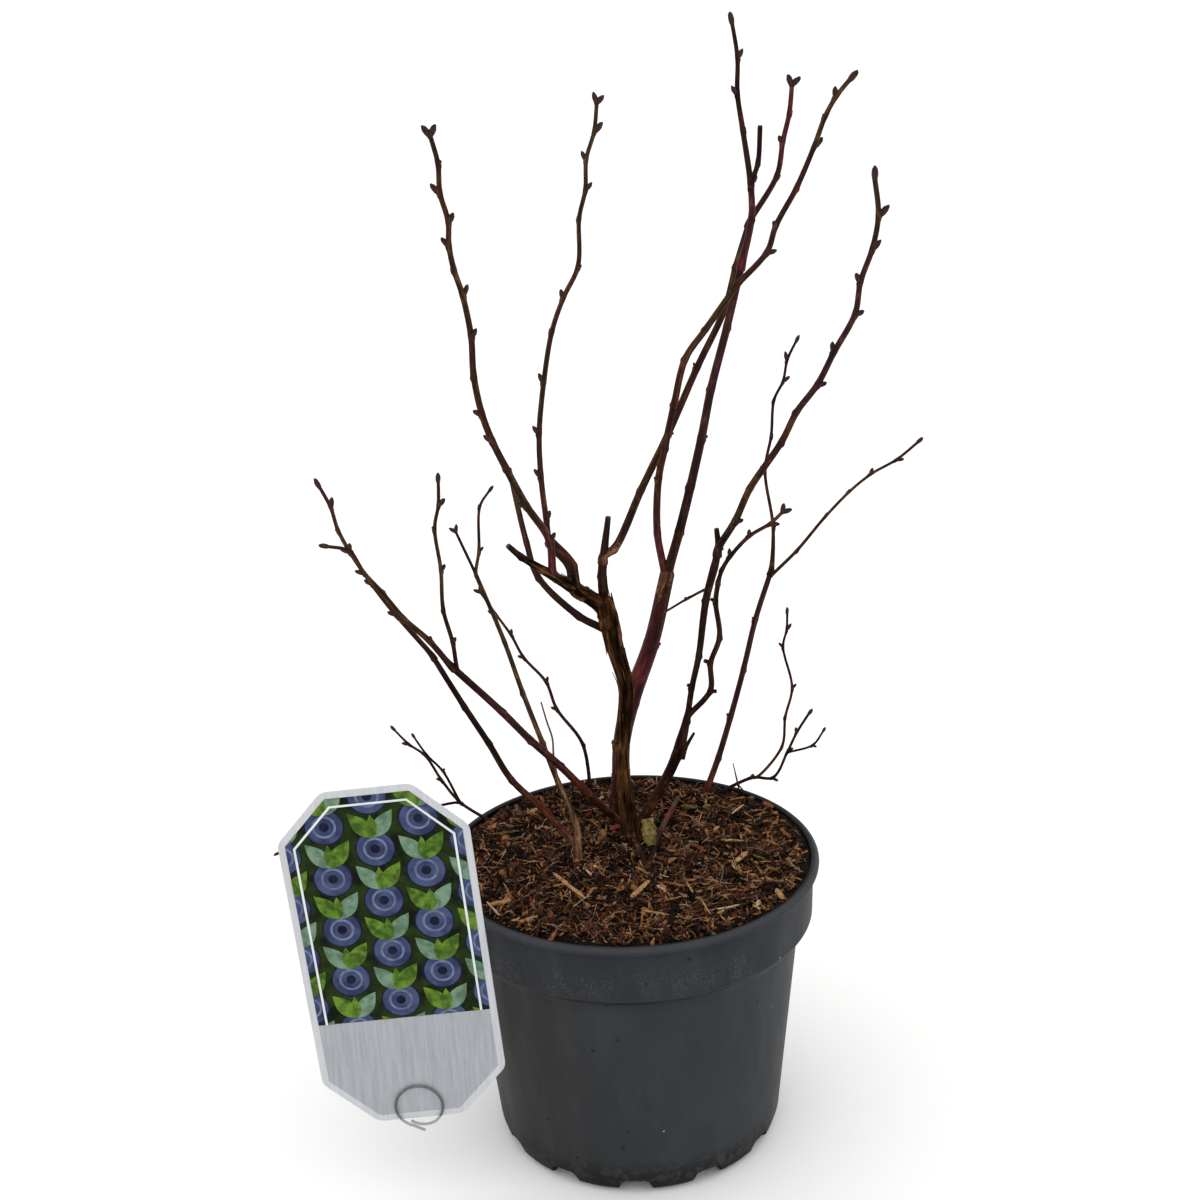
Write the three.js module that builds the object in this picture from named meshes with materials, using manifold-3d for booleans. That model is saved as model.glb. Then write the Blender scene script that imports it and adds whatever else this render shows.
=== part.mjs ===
// A bare highbush blueberry in a three-litre nursery pot, with its blank picture card.
// Millimetres, +Z up. The origin is the middle of the pot's flat underside.
// The front is the -Y side, and the card hangs on the left of it, towards -X.
import * as THREE from 'three';
import { mergeVertices } from 'three/addons/utils/BufferGeometryUtils.js';
import Module from 'manifold-3d';

const wasm = await Module();
wasm.setup();

// Driving dimensions.
const potHeight = 151;
const potWidth = 190;
const potWall = 1.3;
const floorTop = 11;
const footRadius = 68;
const bodyFoot = 9;
const bodyFootRadius = 73.4;
const bodyTopRadius = 84.2;
const shoulder = 8;
const collarHeight = 30;
const collarFootRadius = 91.3;
const collarTopRadius = 92;
const lipHeight = 4.5;
const notchCount = 12;
const notchFootWidth = 18.6;
const notchTopWidth = 12.6;
const notchHeight = 8.5;
const notchReach = 34;
const firstNotch = -93;
const soilEdge = 147.5;
const soilCrown = 150;
const soilFlatRadius = 84;
const gap = 0.3;
const cardWidth = 90;
const cardHeight = 179;
const cardCorner = 24;
const cardThickness = 0.8;
const cardTilt = 4;
const cardMiddle = [-114, -64.6, 134];
const strapWidth = 8;
const strapThickness = 1.2;
const strapPlace = -82;
const strapFoot = 128;
const strapEnd = -25;
const strapHook = 2.4;
const ringRadius = 11;
const ringWire = 1.2;
const ringPlace = [1, 7];
const boughInternode = 26;
const tipInternode = 11;
const boughSway = 0.4;
const twigSway = 0.9;
const leastBend = 6;
const stepLength = 11;
const roundSides = 44;
const limbSides = 5;
const budSides = 4;
const budLength = 6.4;
const budWidth = 2.9;
const budLean = 0.6;
const pairLeans = [-0.7, 0.55];

// Colours.
const potGrey = 0x454646;
const mulchBrown = 0x3a2418;
const oldBark = 0x5a4632;
const redBark = 0x48211f;
const caneBark = 0x43291c;
const twigBark = 0x4f3020;
const cardWhite = 0xd9dcda;
const clearPlastic = 0xc9d2d2;

// The limbs. A leg is [length, lean from upright, heading round from +X], in mm and degrees.
// A limb starts at a foot [x, y] in the soil, or on another limb at a share of that one's length.
// girth is its diameter from the start to the end, evenly spaced, and flare how far its foot spreads.
const boughs = {
  trunk: { foot: [1, 22], girth: [8.2, 7.2, 7.6, 9.6], flare: 0.6, sides: 10, bark: oldBark,
    legs: [[36, 7, 135], [46, 5, 327], [47, 11, 186]] },
  red_cane: { foot: [-6.5, 49], girth: [7.6, 8.4, 9.8, 8.2, 7.6], flare: 0.2, sides: 9, bark: redBark,
    legs: [[40, 6, 346], [26, 13, 346], [35, 20, 353], [38, 14, 354]] },
  centre_cane: { on: 'red_cane', at: 1, girth: [4.9, 3.6], sides: 7, bark: redBark,
    legs: [[47, 16, 4], [51, 13, 345], [63, 15, 342]] },
  crossing_cane: { on: 'red_cane', at: 0.97, girth: [3.9, 3], sides: 7, bark: caneBark,
    legs: [[27, 8, 207], [32, 17, 278], [17, 16, 318], [46, 16, 327], [18, 36, 338], [25, 36, 348]] },
  trunk_spur: { on: 'trunk', at: 1, girth: [4.8, 4.4, 2.6], bark: oldBark,
    legs: [[15, 2, 180], [30, 8, 346]] },
  green_cane: { on: 'trunk_spur', at: 0.55, girth: [4, 3], sides: 7, bark: caneBark,
    legs: [[7, 61, 21], [62, 34, 35], [35, 30, 29], [31, 29, 19], [43, 17, 0]] },
  left_bough: { on: 'trunk', at: 0.97, girth: [7.8, 6.8, 4.2, 2.6], sides: 7, bark: oldBark,
    legs: [[17, 49, 189], [38, 52, 204], [9, 44, 208]] },
  red_spur: { on: 'left_bough', at: 0.31, girth: [6, 5.8, 6], sides: 7, bark: oldBark,
    legs: [[12, 16, 124], [15, 47, 152]] },
  back_bough: { on: 'trunk', at: 0.87, girth: [4.2, 3.2, 2.6], bark: redBark,
    legs: [[20, 67, 154], [28, 48, 158], [18, 25, 131], [38, 14, 139]] },
  right_cane: { foot: [5, 30], girth: [5.2, 5.2, 5.4, 5.7, 3, 3, 3.3, 3.6, 4.1, 2.4], flare: 0.4, sides: 7,
    bark: caneBark,
    legs: [[29, 28, 352], [18, 24, 347], [23, 18, 322], [39, 15, 311], [31, 11, 312], [28, 15, 327],
      [10, 3, 195]] },
  knotted_cane: { on: 'right_cane', at: 0.4, girth: [3, 2.4], bark: oldBark,
    legs: [[23, 39, 323], [18, 19, 272], [17, 24, 308], [21, 17, 253], [13, 23, 283]] },
  slim_cane: { foot: [42, 70], girth: [3.4, 2.8], flare: 0.3, bark: redBark,
    legs: [[46, 21, 25], [55, 17, 25], [28, 19, 14]] },
  long_left_cane: { foot: [-6, 38], girth: [4.2, 3.4], flare: 0.4, bark: redBark,
    legs: [[40, 43, 237], [66, 39, 197], [38, 40, 204]] },
  short_left_cane: { foot: [-29, 14], girth: [3.8, 2.8], flare: 0.4, bark: caneBark,
    legs: [[22, 50, 143], [25, 45, 167], [46, 29, 170], [31, 28, 172]] },
  fine_left_cane: { foot: [-26, 1], girth: [3.2, 2.2], flare: 0.4, bark: twigBark,
    legs: [[18, 47, 95], [45, 34, 129], [55, 29, 131], [38, 24, 148]] },
};

// The masses of twigs. Each has one stem, first in its list, and twigs that leave the stem or one another.
const masses = {
  twigs_left_tall: [
    { on: 'left_bough', at: 0.52, girth: [4, 2.1], tip: 'pair',
      legs: [[22, 18, 259], [47, 30, 221], [32, 26, 232], [59, 16, 256], [13, 23, 239], [22, 16, 265],
        [38, 14, 241]] },
  ],
  twigs_left_inner: [
    { on: 'red_spur', at: 1, girth: [3, 2], tip: 'pair',
      legs: [[12, 16, 115], [42, 16, 98], [50, 20, 61], [34, 30, 35], [23, 15, 75], [57, 20, 56]] },
  ],
  twigs_leader: [
    { on: 'centre_cane', at: 1, girth: [3.6, 1.9], tip: 'bud',
      legs: [[21, 16, 31], [16, 15, 89], [25, 17, 112], [50, 16, 104]] },
    { at: 0.32, girth: [2.5, 2.3], tip: 'cut', legs: [[13, 31, 297], [17, 13, 283]] },
  ],
  twigs_upper_right: [
    { on: 'green_cane', at: 1, girth: [3, 2.1], tip: 'pair',
      legs: [[29, 38, 313], [18, 27, 285], [29, 24, 286]] },
  ],
  twigs_right_arch: [
    { on: 'crossing_cane', at: 1, girth: [3, 2], tip: 'bud',
      legs: [[24, 47, 318], [16, 35, 293], [41, 32, 314], [16, 34, 296], [20, 39, 320]] },
  ],
  twigs_right_tall: [
    { on: 'right_cane', at: 0.94, girth: [3.6, 2.2], tip: 'bud',
      legs: [[43, 34, 307], [30, 36, 320], [55, 35, 311], [21, 32, 315], [44, 17, 308], [17, 17, 242]] },
  ],
  twigs_knotted: [
    { on: 'knotted_cane', at: 1, girth: [2.2, 1.6], tip: 'pair',
      legs: [[8, 26, 302], [8, 32, 332], [15, 42, 331], [12, 56, 342], [9, 45, 341]] },
  ],
  twigs_slim: [
    { on: 'slim_cane', at: 1, girth: [3, 1.8, 1.7, 1.6, 1.5, 1.4], tip: 'bud',
      legs: [[23, 16, 74], [30, 17, 111], [37, 15, 53], [33, 24, 22]] },
  ],
  twigs_far_right: [
    { on: 'slim_cane', at: 0.96, girth: [1.9, 1.5, 1.4], tip: 'bud',
      legs: [[48, 40, 337], [21, 42, 327], [46, 51, 333]] },
  ],
  twigs_left_upright: [
    { on: 'long_left_cane', at: 0.96, girth: [2.2, 1.6], tip: 'bud',
      legs: [[37, 15, 244], [43, 10, 267], [25, 13, 312]] },
  ],
  twigs_far_left_low: [
    { on: 'long_left_cane', at: 1, girth: [3.2, 1.6], tip: 'bud',
      legs: [[55, 36, 210], [27, 32, 213], [12, 67, 212]] },
  ],
  twigs_far_left_high: [
    { on: 'short_left_cane', at: 1, girth: [2.8, 1.8], tip: 'bud',
      legs: [[28, 39, 168], [39, 33, 169], [36, 24, 155]] },
  ],
  twigs_fine_left: [
    { on: 'fine_left_cane', at: 1, girth: [1.9, 1.3], tip: 'bud',
      legs: [[12, 22, 63], [23, 20, 79], [10, 42, 37]] },
    { on: 'fine_left_cane', at: 1, girth: [1.7, 1.4], tip: 'pair', legs: [[25, 24, 158]] },
  ],
  twigs_back_left: [
    { foot: [-20.4, 76], girth: [2.1, 1.4], tip: 'pair',
      legs: [[30, 7, 145], [24, 34, 167], [16, 20, 159], [18, 41, 165], [28, 31, 164], [15, 33, 166]] },
  ],
  twigs_rim_left: [
    { foot: [-70, 43], girth: [1.8, 1.2], tip: 'bud', legs: [[23, 56, 168], [31, 35, 164], [22, 53, 159]] },
    { at: 0.3, girth: [1.5, 1.1], tip: 'bud', legs: [[24, 25, 224], [27, 32, 204]] },
    { at: 0.3, girth: [1.5, 1.1], tip: 'bud', legs: [[61, 89, 206], [39, 102, 195]] },
  ],
  twigs_rim_right: [
    { foot: [46, 66], girth: [2.1, 1.5, 1.4], tip: 'bud',
      legs: [[24, 71, 20], [13, 78, 330], [22, 30, 313], [28, 28, 324]] },
    { at: 0.31, girth: [1.6, 1.3], tip: 'bud',
      legs: [[23, 59, 40], [33, 18, 50], [23, 19, 123], [19, 15, 55]] },
    { at: 0.66, girth: [1.3, 1.1], tip: 'bud', legs: [[20, 61, 316], [12, 34, 321]] },
  ],
  twigs_cross: [
    { on: 'right_cane', at: 0.82, girth: [1.5, 1.1], tip: 'cut', legs: [[28, 100, 218]] },
  ],
};

const radians = THREE.MathUtils.degToRad;

// A closed mesh as a solid for joining and cutting.
function solidFrom(geometry) {
  const plain = geometry.index ? geometry.toNonIndexed() : geometry.clone();
  for (const name of Object.keys(plain.attributes)) {
    if (name !== 'position') plain.deleteAttribute(name);
  }
  const merged = mergeVertices(plain, 1e-4);
  return new wasm.Manifold(new wasm.Mesh({
    numProp: 3,
    vertProperties: new Float32Array(merged.attributes.position.array),
    triVerts: new Uint32Array(merged.index.array),
  }));
}

// A finished solid as a named mesh of the model.
function meshFrom(name, solid, color, roughness) {
  const { vertProperties, triVerts } = solid.getMesh();
  const geometry = new THREE.BufferGeometry();
  geometry.setAttribute('position', new THREE.BufferAttribute(vertProperties, 3));
  geometry.setIndex(new THREE.BufferAttribute(triVerts, 1));
  geometry.computeVertexNormals();
  const mesh = new THREE.Mesh(geometry, new THREE.MeshStandardMaterial({ color, roughness, metalness: 0 }));
  mesh.name = name;
  return mesh;
}

// A profile of [radius, height] pairs turned round Z.
function turned(profile, sides) {
  const points = profile.map(([radius, height]) => new THREE.Vector2(radius, height));
  return new THREE.LatheGeometry(points, sides).rotateX(Math.PI / 2);
}

function soilHeight(radius) {
  const share = Math.min(radius / soilFlatRadius, 1);
  return soilEdge + (soilCrown - soilEdge) * (1 - share * share);
}

// ---- Growth ----

// The same sequence of numbers from 0 to 1 for the same seed.
function seededNumbers(seed) {
  let state = seed;
  return () => {
    state = (state * 16807) % 2147483647;
    return state / 2147483647;
  };
}

function direction(lean, heading) {
  const [a, b] = [radians(lean), radians(heading)];
  return new THREE.Vector3(Math.sin(a) * Math.cos(b), Math.sin(a) * Math.sin(b), Math.cos(a));
}

// A unit vector square to the growing direction: +X side at 0 degrees, then round towards +Y.
function sideways(along, angle) {
  const right = new THREE.Vector3(0, 1, 0).cross(along).normalize();
  const back = along.clone().cross(right);
  return right.multiplyScalar(Math.cos(radians(angle))).addScaledVector(back, Math.sin(radians(angle)));
}

// A limb's diameter at a share of its length, between the values of its girth list.
function girthAt({ girth }, share) {
  const place = share * (girth.length - 1);
  const index = Math.min(Math.floor(place), girth.length - 2);
  return THREE.MathUtils.lerp(girth[index], girth[index + 1], place - index);
}

// The nodes of a limb: its legs cut into internodes, which shorten towards the tip. An inner node stands
// a little to one side and then the other, and a node at a bend faces the outside of that bend.
function growNodes(limb, start, run, random, lastInternode, sway) {
  const nodes = [];
  const corner = start.clone();
  const whole = limb.legs.reduce((sum, [length]) => sum + length, 0);
  let grownLength = 0;
  let turn = 0;
  limb.legs.forEach(([length, lean, heading], leg) => {
    const along = direction(lean, heading);
    const spacing = THREE.MathUtils.lerp(boughInternode, lastInternode, (grownLength + length / 2) / whole);
    const count = Math.max(1, Math.round(length / spacing));
    const next = limb.legs[leg + 1];
    for (let i = 1; i <= count; i += 1) {
      const place = corner.clone().addScaledVector(along, (length * i) / count);
      let side = sideways(along, 180 * turn + 60 * (random() - 0.5));
      if (i < count) {
        place.addScaledVector(side, sway);
      } else if (next) {
        const ahead = direction(next[1], next[2]);
        if (ahead.angleTo(along) > radians(leastBend)) {
          side = along.clone().multiplyScalar(along.dot(ahead)).sub(ahead).normalize();
        }
      }
      nodes.push({ place, along, side });
      turn += 1;
    }
    corner.addScaledVector(along, length);
    grownLength += length;
  });
  const root = start.clone().addScaledVector(run, -limb.girth[0]);
  const points = [root, start, ...nodes.map((node) => node.place)];
  limb.curve = new THREE.CatmullRomCurve3(points, false, 'centripetal');
  limb.lead = limb.girth[0] / limb.curve.getLength();
  limb.nodes = nodes;
}

// A cylinder bent along the limb's curve, as thick as the limb plus twice the extra.
function limbSolid(limb, extra) {
  const length = limb.curve.getLength();
  const sides = limb.sides ?? limbSides;
  const steps = Math.max(3, Math.round(length / stepLength));
  const { normals, binormals, tangents } = limb.curve.computeFrenetFrames(steps, false);
  const tube = new THREE.CylinderGeometry(1, 1, 1, sides, steps);
  const position = tube.attributes.position;
  const vertex = new THREE.Vector3();
  for (let i = 0; i < position.count; i += 1) {
    vertex.fromBufferAttribute(position, i);
    const step = Math.round((vertex.y + 0.5) * steps);
    const share = step / steps;
    const flare = (limb.flare ?? 0) * Math.exp((-share * length) / (1.6 * limb.girth[0]));
    const radius = (girthAt(limb, share) * (1 + flare)) / 2 + extra;
    const past = step === steps ? extra : 0;
    const point = limb.curve.getPointAt(share)
      .addScaledVector(normals[step], vertex.x * radius)
      .addScaledVector(binormals[step], -vertex.z * radius)
      .addScaledVector(tangents[step], past);
    position.setXYZ(i, point.x, point.y, point.z);
  }
  return solidFrom(tube);
}

// A pointed bud that stands on its root with its tip along the given direction.
function budSolid(root, along, length, width) {
  const profile = [[0, -0.1], [0.48, 0.2], [0.38, 0.62], [0, 1]];
  const shape = turned(profile.map(([r, z]) => [r * width, z * length]), budSides);
  const turn = new THREE.Quaternion().setFromUnitVectors(new THREE.Vector3(0, 0, 1), along);
  shape.applyQuaternion(turn);
  shape.translate(root.x, root.y, root.z);
  return solidFrom(shape);
}

// The buds of one twig: one at each node on the node's side, small or full, and larger towards the tip.
function budSolids(limb, random) {
  const buds = [];
  const last = limb.nodes.length - 1;
  limb.nodes.forEach(({ place, along, side }, index) => {
    const share = (index + 1) / (last + 1);
    const size = (0.55 + 0.45 * share) * (0.4 + 0.75 * Math.sqrt(random()));
    if (index < last) {
      const root = place.clone().addScaledVector(side, girthAt(limb, share) * 0.3);
      const tip = along.clone().addScaledVector(side, budLean).normalize();
      buds.push(budSolid(root, tip, budLength * size, budWidth * size));
    } else if (limb.tip !== 'cut') {
      for (const lean of limb.tip === 'pair' ? pairLeans : [0.1]) {
        const tip = along.clone().addScaledVector(side, lean).normalize();
        buds.push(budSolid(place.clone().addScaledVector(along, -1), tip, budLength, budWidth));
      }
    }
  });
  return buds;
}

const grown = new Map();

// Where a limb starts, and the way its carrier runs there.
function startOf(limb, stem) {
  const up = new THREE.Vector3(0, 0, 1);
  if (limb.foot) {
    const [x, y] = limb.foot;
    return [new THREE.Vector3(x, y, soilHeight(Math.hypot(x, y))), up];
  }
  const carrier = limb.on ? grown.get(limb.on).limb : stem;
  const share = carrier.lead + (1 - carrier.lead) * limb.at;
  return [carrier.curve.getPointAt(share), carrier.curve.getTangentAt(share)];
}

// The part of a solid that is left above the soil and clear of the limbs grown before it.
function trimmed(solid, feet) {
  let rest = solid;
  for (const [x, y] of feet) {
    const level = soilHeight(Math.hypot(x, y)) + gap;
    const ground = new THREE.BoxGeometry(2 * potWidth, 2 * potWidth, level).translate(0, 0, level / 2);
    rest = rest.subtract(solidFrom(ground));
  }
  for (const { clearance } of grown.values()) rest = rest.subtract(clearance);
  return rest.decompose().sort((a, b) => b.volume() - a.volume())[0];
}

// ---- The pieces ----

const half = potWidth / 2;
const collarFoot = potHeight - collarHeight;
const shoulderFoot = collarFoot - shoulder;

// The inside of the pot from the middle of its floor up into the collar, or a surface that is clear of it.
function potInside(clear) {
  const inward = potWall + clear;
  return [
    [0, floorTop + clear], [bodyFootRadius - inward - 2, floorTop + clear],
    [bodyFootRadius - inward + 0.3, floorTop + clear + 3], [bodyTopRadius - inward, shoulderFoot + clear],
    [collarFootRadius - inward, collarFoot + clear],
  ];
}

function buildPot() {
  const outer = [
    [0, 0], [footRadius, 0], [footRadius + 3.5, 3], [bodyFootRadius, bodyFoot], [bodyTopRadius, shoulderFoot],
    [bodyTopRadius + 1.2, collarFoot - 0.6 * shoulder], [collarFootRadius, collarFoot],
    [collarTopRadius, potHeight - lipHeight], [half - 0.4, potHeight - lipHeight + 0.4],
    [half, potHeight - lipHeight / 2], [half - 0.8, potHeight - 0.6], [half - 2.2, potHeight],
  ];
  const mouth = [[half - 4.2, potHeight - 0.3], [collarTopRadius - potWall, potHeight - 2]];
  let pot = solidFrom(turned([...outer, ...mouth, ...potInside(0).reverse()], roundSides));
  for (let i = 0; i < notchCount; i += 1) {
    const profile = new THREE.Shape([
      new THREE.Vector2(-notchFootWidth / 2, -1),
      new THREE.Vector2(notchFootWidth / 2, -1),
      new THREE.Vector2(notchTopWidth / 2, notchHeight),
      new THREE.Vector2(-notchTopWidth / 2, notchHeight),
    ]);
    const notch = new THREE.ExtrudeGeometry(profile, { depth: half - notchReach, bevelEnabled: false });
    notch.rotateX(Math.PI / 2);
    notch.translate(0, half, 0);
    notch.rotateZ(radians(firstNotch + (360 / notchCount) * i - 90));
    pot = pot.subtract(solidFrom(notch));
  }
  return meshFrom('pot', pot, potGrey, 0.6);
}

function buildSoil() {
  const profile = [...potInside(gap), [collarFootRadius - potWall, soilEdge - 1.5]];
  for (const share of [1, 0.75, 0.5, 0.25, 0]) {
    const radius = soilFlatRadius * share;
    profile.push([radius, soilHeight(radius)]);
  }
  return meshFrom('bark_mulch', solidFrom(turned(profile, roundSides)), mulchBrown, 0.95);
}

function cardPlace(geometry) {
  geometry.rotateY(radians(-cardTilt));
  geometry.translate(...cardMiddle);
  return geometry;
}

function buildCard() {
  const [w, h, c] = [cardWidth / 2, cardHeight / 2, cardCorner];
  const corners = [
    [w - c, -h], [w, c - h], [w, h - c], [w - c, h],
    [c - w, h], [-w, h - c], [-w, c - h], [c - w, -h],
  ];
  const outline = new THREE.Shape(corners.map(([x, z]) => new THREE.Vector2(x, z)));
  const card = new THREE.ExtrudeGeometry(outline, { depth: cardThickness, bevelEnabled: false });
  card.rotateX(Math.PI / 2);
  return meshFrom('picture_card', solidFrom(cardPlace(card)), cardWhite, 0.4);
}

// A strap behind the card that lies over the pot's rim and holds the card to it.
function buildHook() {
  const front = cardMiddle[1] + gap;
  const top = potHeight + gap;
  const strap = new THREE.Shape();
  strap.moveTo(front, strapFoot);
  strap.lineTo(front + strapThickness, strapFoot);
  strap.lineTo(front + strapThickness, top);
  strap.lineTo(strapEnd - strapThickness, top);
  strap.lineTo(strapEnd - strapThickness, top - strapHook);
  strap.lineTo(strapEnd, top - strapHook);
  strap.lineTo(strapEnd, top + strapThickness);
  strap.lineTo(front, top + strapThickness);
  const hook = new THREE.ExtrudeGeometry(strap, { depth: strapWidth, bevelEnabled: false });
  hook.rotateY(Math.PI / 2);
  hook.rotateX(Math.PI / 2);
  hook.translate(strapPlace - strapWidth / 2, 0, 0);
  return meshFrom('card_strap', solidFrom(hook), clearPlastic, 0.3);
}

// The clear ring that lies on the card's face near its foot.
function buildRing() {
  const ring = new THREE.TorusGeometry(ringRadius, ringWire / 2, 6, 24);
  ring.rotateX(Math.PI / 2);
  ring.translate(ringPlace[0], -cardThickness - ringWire / 2 - gap, ringPlace[1] - cardHeight / 2);
  return meshFrom('card_ring', solidFrom(cardPlace(ring)), clearPlastic, 0.15);
}

function buildBough(name, limb, seed) {
  const [start, run] = startOf(limb);
  growNodes(limb, start, run, seededNumbers(seed), boughInternode, boughSway);
  const solid = trimmed(limbSolid(limb, 0), limb.foot ? [limb.foot] : []);
  grown.set(name, { limb, clearance: limbSolid(limb, gap) });
  return meshFrom(name, solid, limb.bark, 0.75);
}

function buildMass(name, twigs, seed) {
  const random = seededNumbers(seed);
  const solids = [];
  for (const twig of twigs) {
    const [start, run] = startOf(twig, twigs[0]);
    growNodes(twig, start, run, random, tipInternode, twigSway);
    solids.push(limbSolid(twig, 0), ...budSolids(twig, random));
  }
  const feet = twigs.filter((twig) => twig.foot).map((twig) => twig.foot);
  const solid = trimmed(wasm.Manifold.union(solids), feet);
  return meshFrom(name, solid, twigBark, 0.7);
}

const bush = new THREE.Group();
bush.add(buildPot(), buildSoil(), buildCard(), buildHook(), buildRing());
Object.entries(boughs).forEach(([name, limb], index) => bush.add(buildBough(name, limb, 101 + index)));
Object.entries(masses).forEach(([name, twigs], index) => bush.add(buildMass(name, twigs, 301 + index)));

export default bush;
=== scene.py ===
from math import ceil, cos, pi, radians, sin

import bmesh
import bpy
import numpy as np
from mathutils import Matrix


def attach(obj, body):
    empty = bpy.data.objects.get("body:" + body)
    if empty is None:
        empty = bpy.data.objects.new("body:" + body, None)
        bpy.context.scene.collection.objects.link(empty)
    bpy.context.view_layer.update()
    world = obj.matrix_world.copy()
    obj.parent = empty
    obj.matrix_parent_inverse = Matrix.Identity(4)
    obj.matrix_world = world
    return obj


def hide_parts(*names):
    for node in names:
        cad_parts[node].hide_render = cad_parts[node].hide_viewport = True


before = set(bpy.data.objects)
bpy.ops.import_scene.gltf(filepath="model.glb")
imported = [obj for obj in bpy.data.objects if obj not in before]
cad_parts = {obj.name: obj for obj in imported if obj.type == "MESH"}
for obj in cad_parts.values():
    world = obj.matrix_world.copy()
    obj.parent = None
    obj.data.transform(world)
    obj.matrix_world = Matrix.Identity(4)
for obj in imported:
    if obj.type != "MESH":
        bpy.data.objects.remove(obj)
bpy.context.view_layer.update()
mm = 0.001
print("frame:", len(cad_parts), "nodes")


def linear(colour):  # sRGB hex, or a plain grey from 0 to 1, as the linear colour that a shader takes
    if not isinstance(colour, str):
        return (colour, colour, colour, 1)
    channels = [int(colour[i:i + 2], 16) / 255 for i in (1, 3, 5)]
    return (*[c / 12.92 if c <= 0.04045 else ((c + 0.055) / 1.055) ** 2.4 for c in channels], 1)


def addNode(near, kind, settings=None, links=None, stops=()):  # near: the tree or anything in it
    tree = near.id_data
    node = tree.nodes.new("ShaderNode" + kind)
    for name, value in (settings or {}).items():
        if isinstance(name, int) or name in node.inputs:
            node.inputs[name].default_value = value
        else:
            setattr(node, name, value)
    for name, source in (links or {}).items():
        socket = source.outputs[0] if isinstance(source, bpy.types.Node) else source
        tree.links.new(socket, node.inputs[name])
    for index, (place, colour) in enumerate(stops):
        if index >= len(node.color_ramp.elements):
            node.color_ramp.elements.new(place)
        node.color_ramp.elements[index].position = place
        node.color_ramp.elements[index].color = linear(colour)
    return node


def newMaterial(name):
    material = bpy.data.materials.new(name)
    material.use_nodes = True
    material.node_tree.nodes.clear()
    return material


def coat(material, settings, links=None):  # the shader that the patterns end in
    shader = addNode(material.node_tree, "BsdfPrincipled", settings, links)
    addNode(shader, "OutputMaterial", links={"Surface": shader})
    return material


def placeOnPiece(material, stretch=(1, 1, 1)):  # object coordinates, drawn out where stretch is small
    here = addNode(material.node_tree, "TexCoord").outputs["Object"]
    return addNode(here, "Mapping", {"Scale": stretch}, {"Vector": here})


def grain(size, detail=3, roughness=0.5):  # settings of a noise whose blotches are about size mm across
    return {"Scale": 1 / (size * mm), "Detail": detail, "Roughness": roughness}


def mottled(where, noise, stops):  # stops: a place and its colour or grey
    blotches = addNode(where, "TexNoise", noise, {"Vector": where})
    return addNode(where, "ValToRGB", links={"Fac": blotches}, stops=stops)


def pitted(where, noise, depth):  # depth in mm
    pits = addNode(where, "TexNoise", noise, {"Vector": where})
    return addNode(where, "Bump", {"Distance": depth * mm, "Strength": 1}, {"Height": pits})


def spotted(where, apart, radius):  # round spots with soft rims, all in mm
    cells = addNode(where, "TexVoronoi", {"Scale": 1 / (apart * mm)}, {"Vector": where})
    stops = [(0.7 * radius / apart, 0.8), (1.2 * radius / apart, 0)]
    return addNode(where, "ValToRGB", links={"Fac": cells}, stops=stops)


def shareOf(*masks):  # their product; a span is (value, from this many mm, share there, to that many, share)
    product = None
    for mask in masks:
        if isinstance(mask, tuple):
            value, low, lowShare, high, highShare = mask
            span = {"From Min": low * mm, "From Max": high * mm, "To Min": lowShare, "To Max": highShare}
            mask = addNode(value, "MapRange", span, {"Value": value})
        if product:
            mask = addNode(mask, "Math", {"operation": "MULTIPLY"}, {0: product, 1: mask})
        product = mask
    return product


def makePiece(name, points, faces, materials, slots=None, relief=None, smooth=True):
    mesh = bpy.data.meshes.new(name)
    mesh.from_pydata((np.asarray(points) * mm).tolist(), [], faces)
    for material in materials:
        mesh.materials.append(material)
    if slots is not None:
        mesh.polygons.foreach_set("material_index", np.asarray(slots, dtype=np.int32))
    if relief is not None:
        heights = mesh.attributes.new("relief", "FLOAT", "POINT").data
        heights.foreach_set("value", np.asarray(relief, dtype=np.float32))
    mesh.polygons.foreach_set("use_smooth", [smooth] * len(mesh.polygons))
    mesh.update()
    piece = bpy.data.objects.new(name, mesh)
    bpy.context.scene.collection.objects.link(piece)
    return piece


def settle(piece, slotName, *nodes):  # it rides with the pot and may stand for CAD nodes; slotName is not used
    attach(piece, "root")
    if nodes:
        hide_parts(*nodes)


def joined(parts):  # several (points, faces, slots) in one
    points, faces, slots = [], [], []
    start = 0
    for partPoints, partFaces, partSlots in parts:
        points.append(partPoints)
        faces.extend([tuple(corner + start for corner in face) for face in partFaces])
        slots.extend(partSlots)
        start += len(partPoints)
    return np.vstack(points), faces, slots


def gridFaces(rings, sides):  # quads between rings of points that close round
    i, j = np.meshgrid(np.arange(rings - 1), np.arange(sides), indexing="ij")
    k = (j + 1) % sides
    quads = np.stack([i * sides + j, i * sides + k, (i + 1) * sides + k, (i + 1) * sides + j], axis=-1)
    return quads.reshape(-1, 4).tolist()


def tubeFaces(rings, sides):  # the same with a cap at each end
    last = (rings - 1) * sides
    return gridFaces(rings, sides) + [tuple(range(sides))[::-1], tuple(range(last, last + sides))]


def anglesRound(sides):
    return np.arange(sides) * 2 * pi / sides


def outwards(across, back, sides):  # from each ring's middle to its points, of length 1
    angles = anglesRound(sides)
    return np.cos(angles)[:, None] * across[:, None, :] + np.sin(angles)[:, None] * back[:, None, :]


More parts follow.
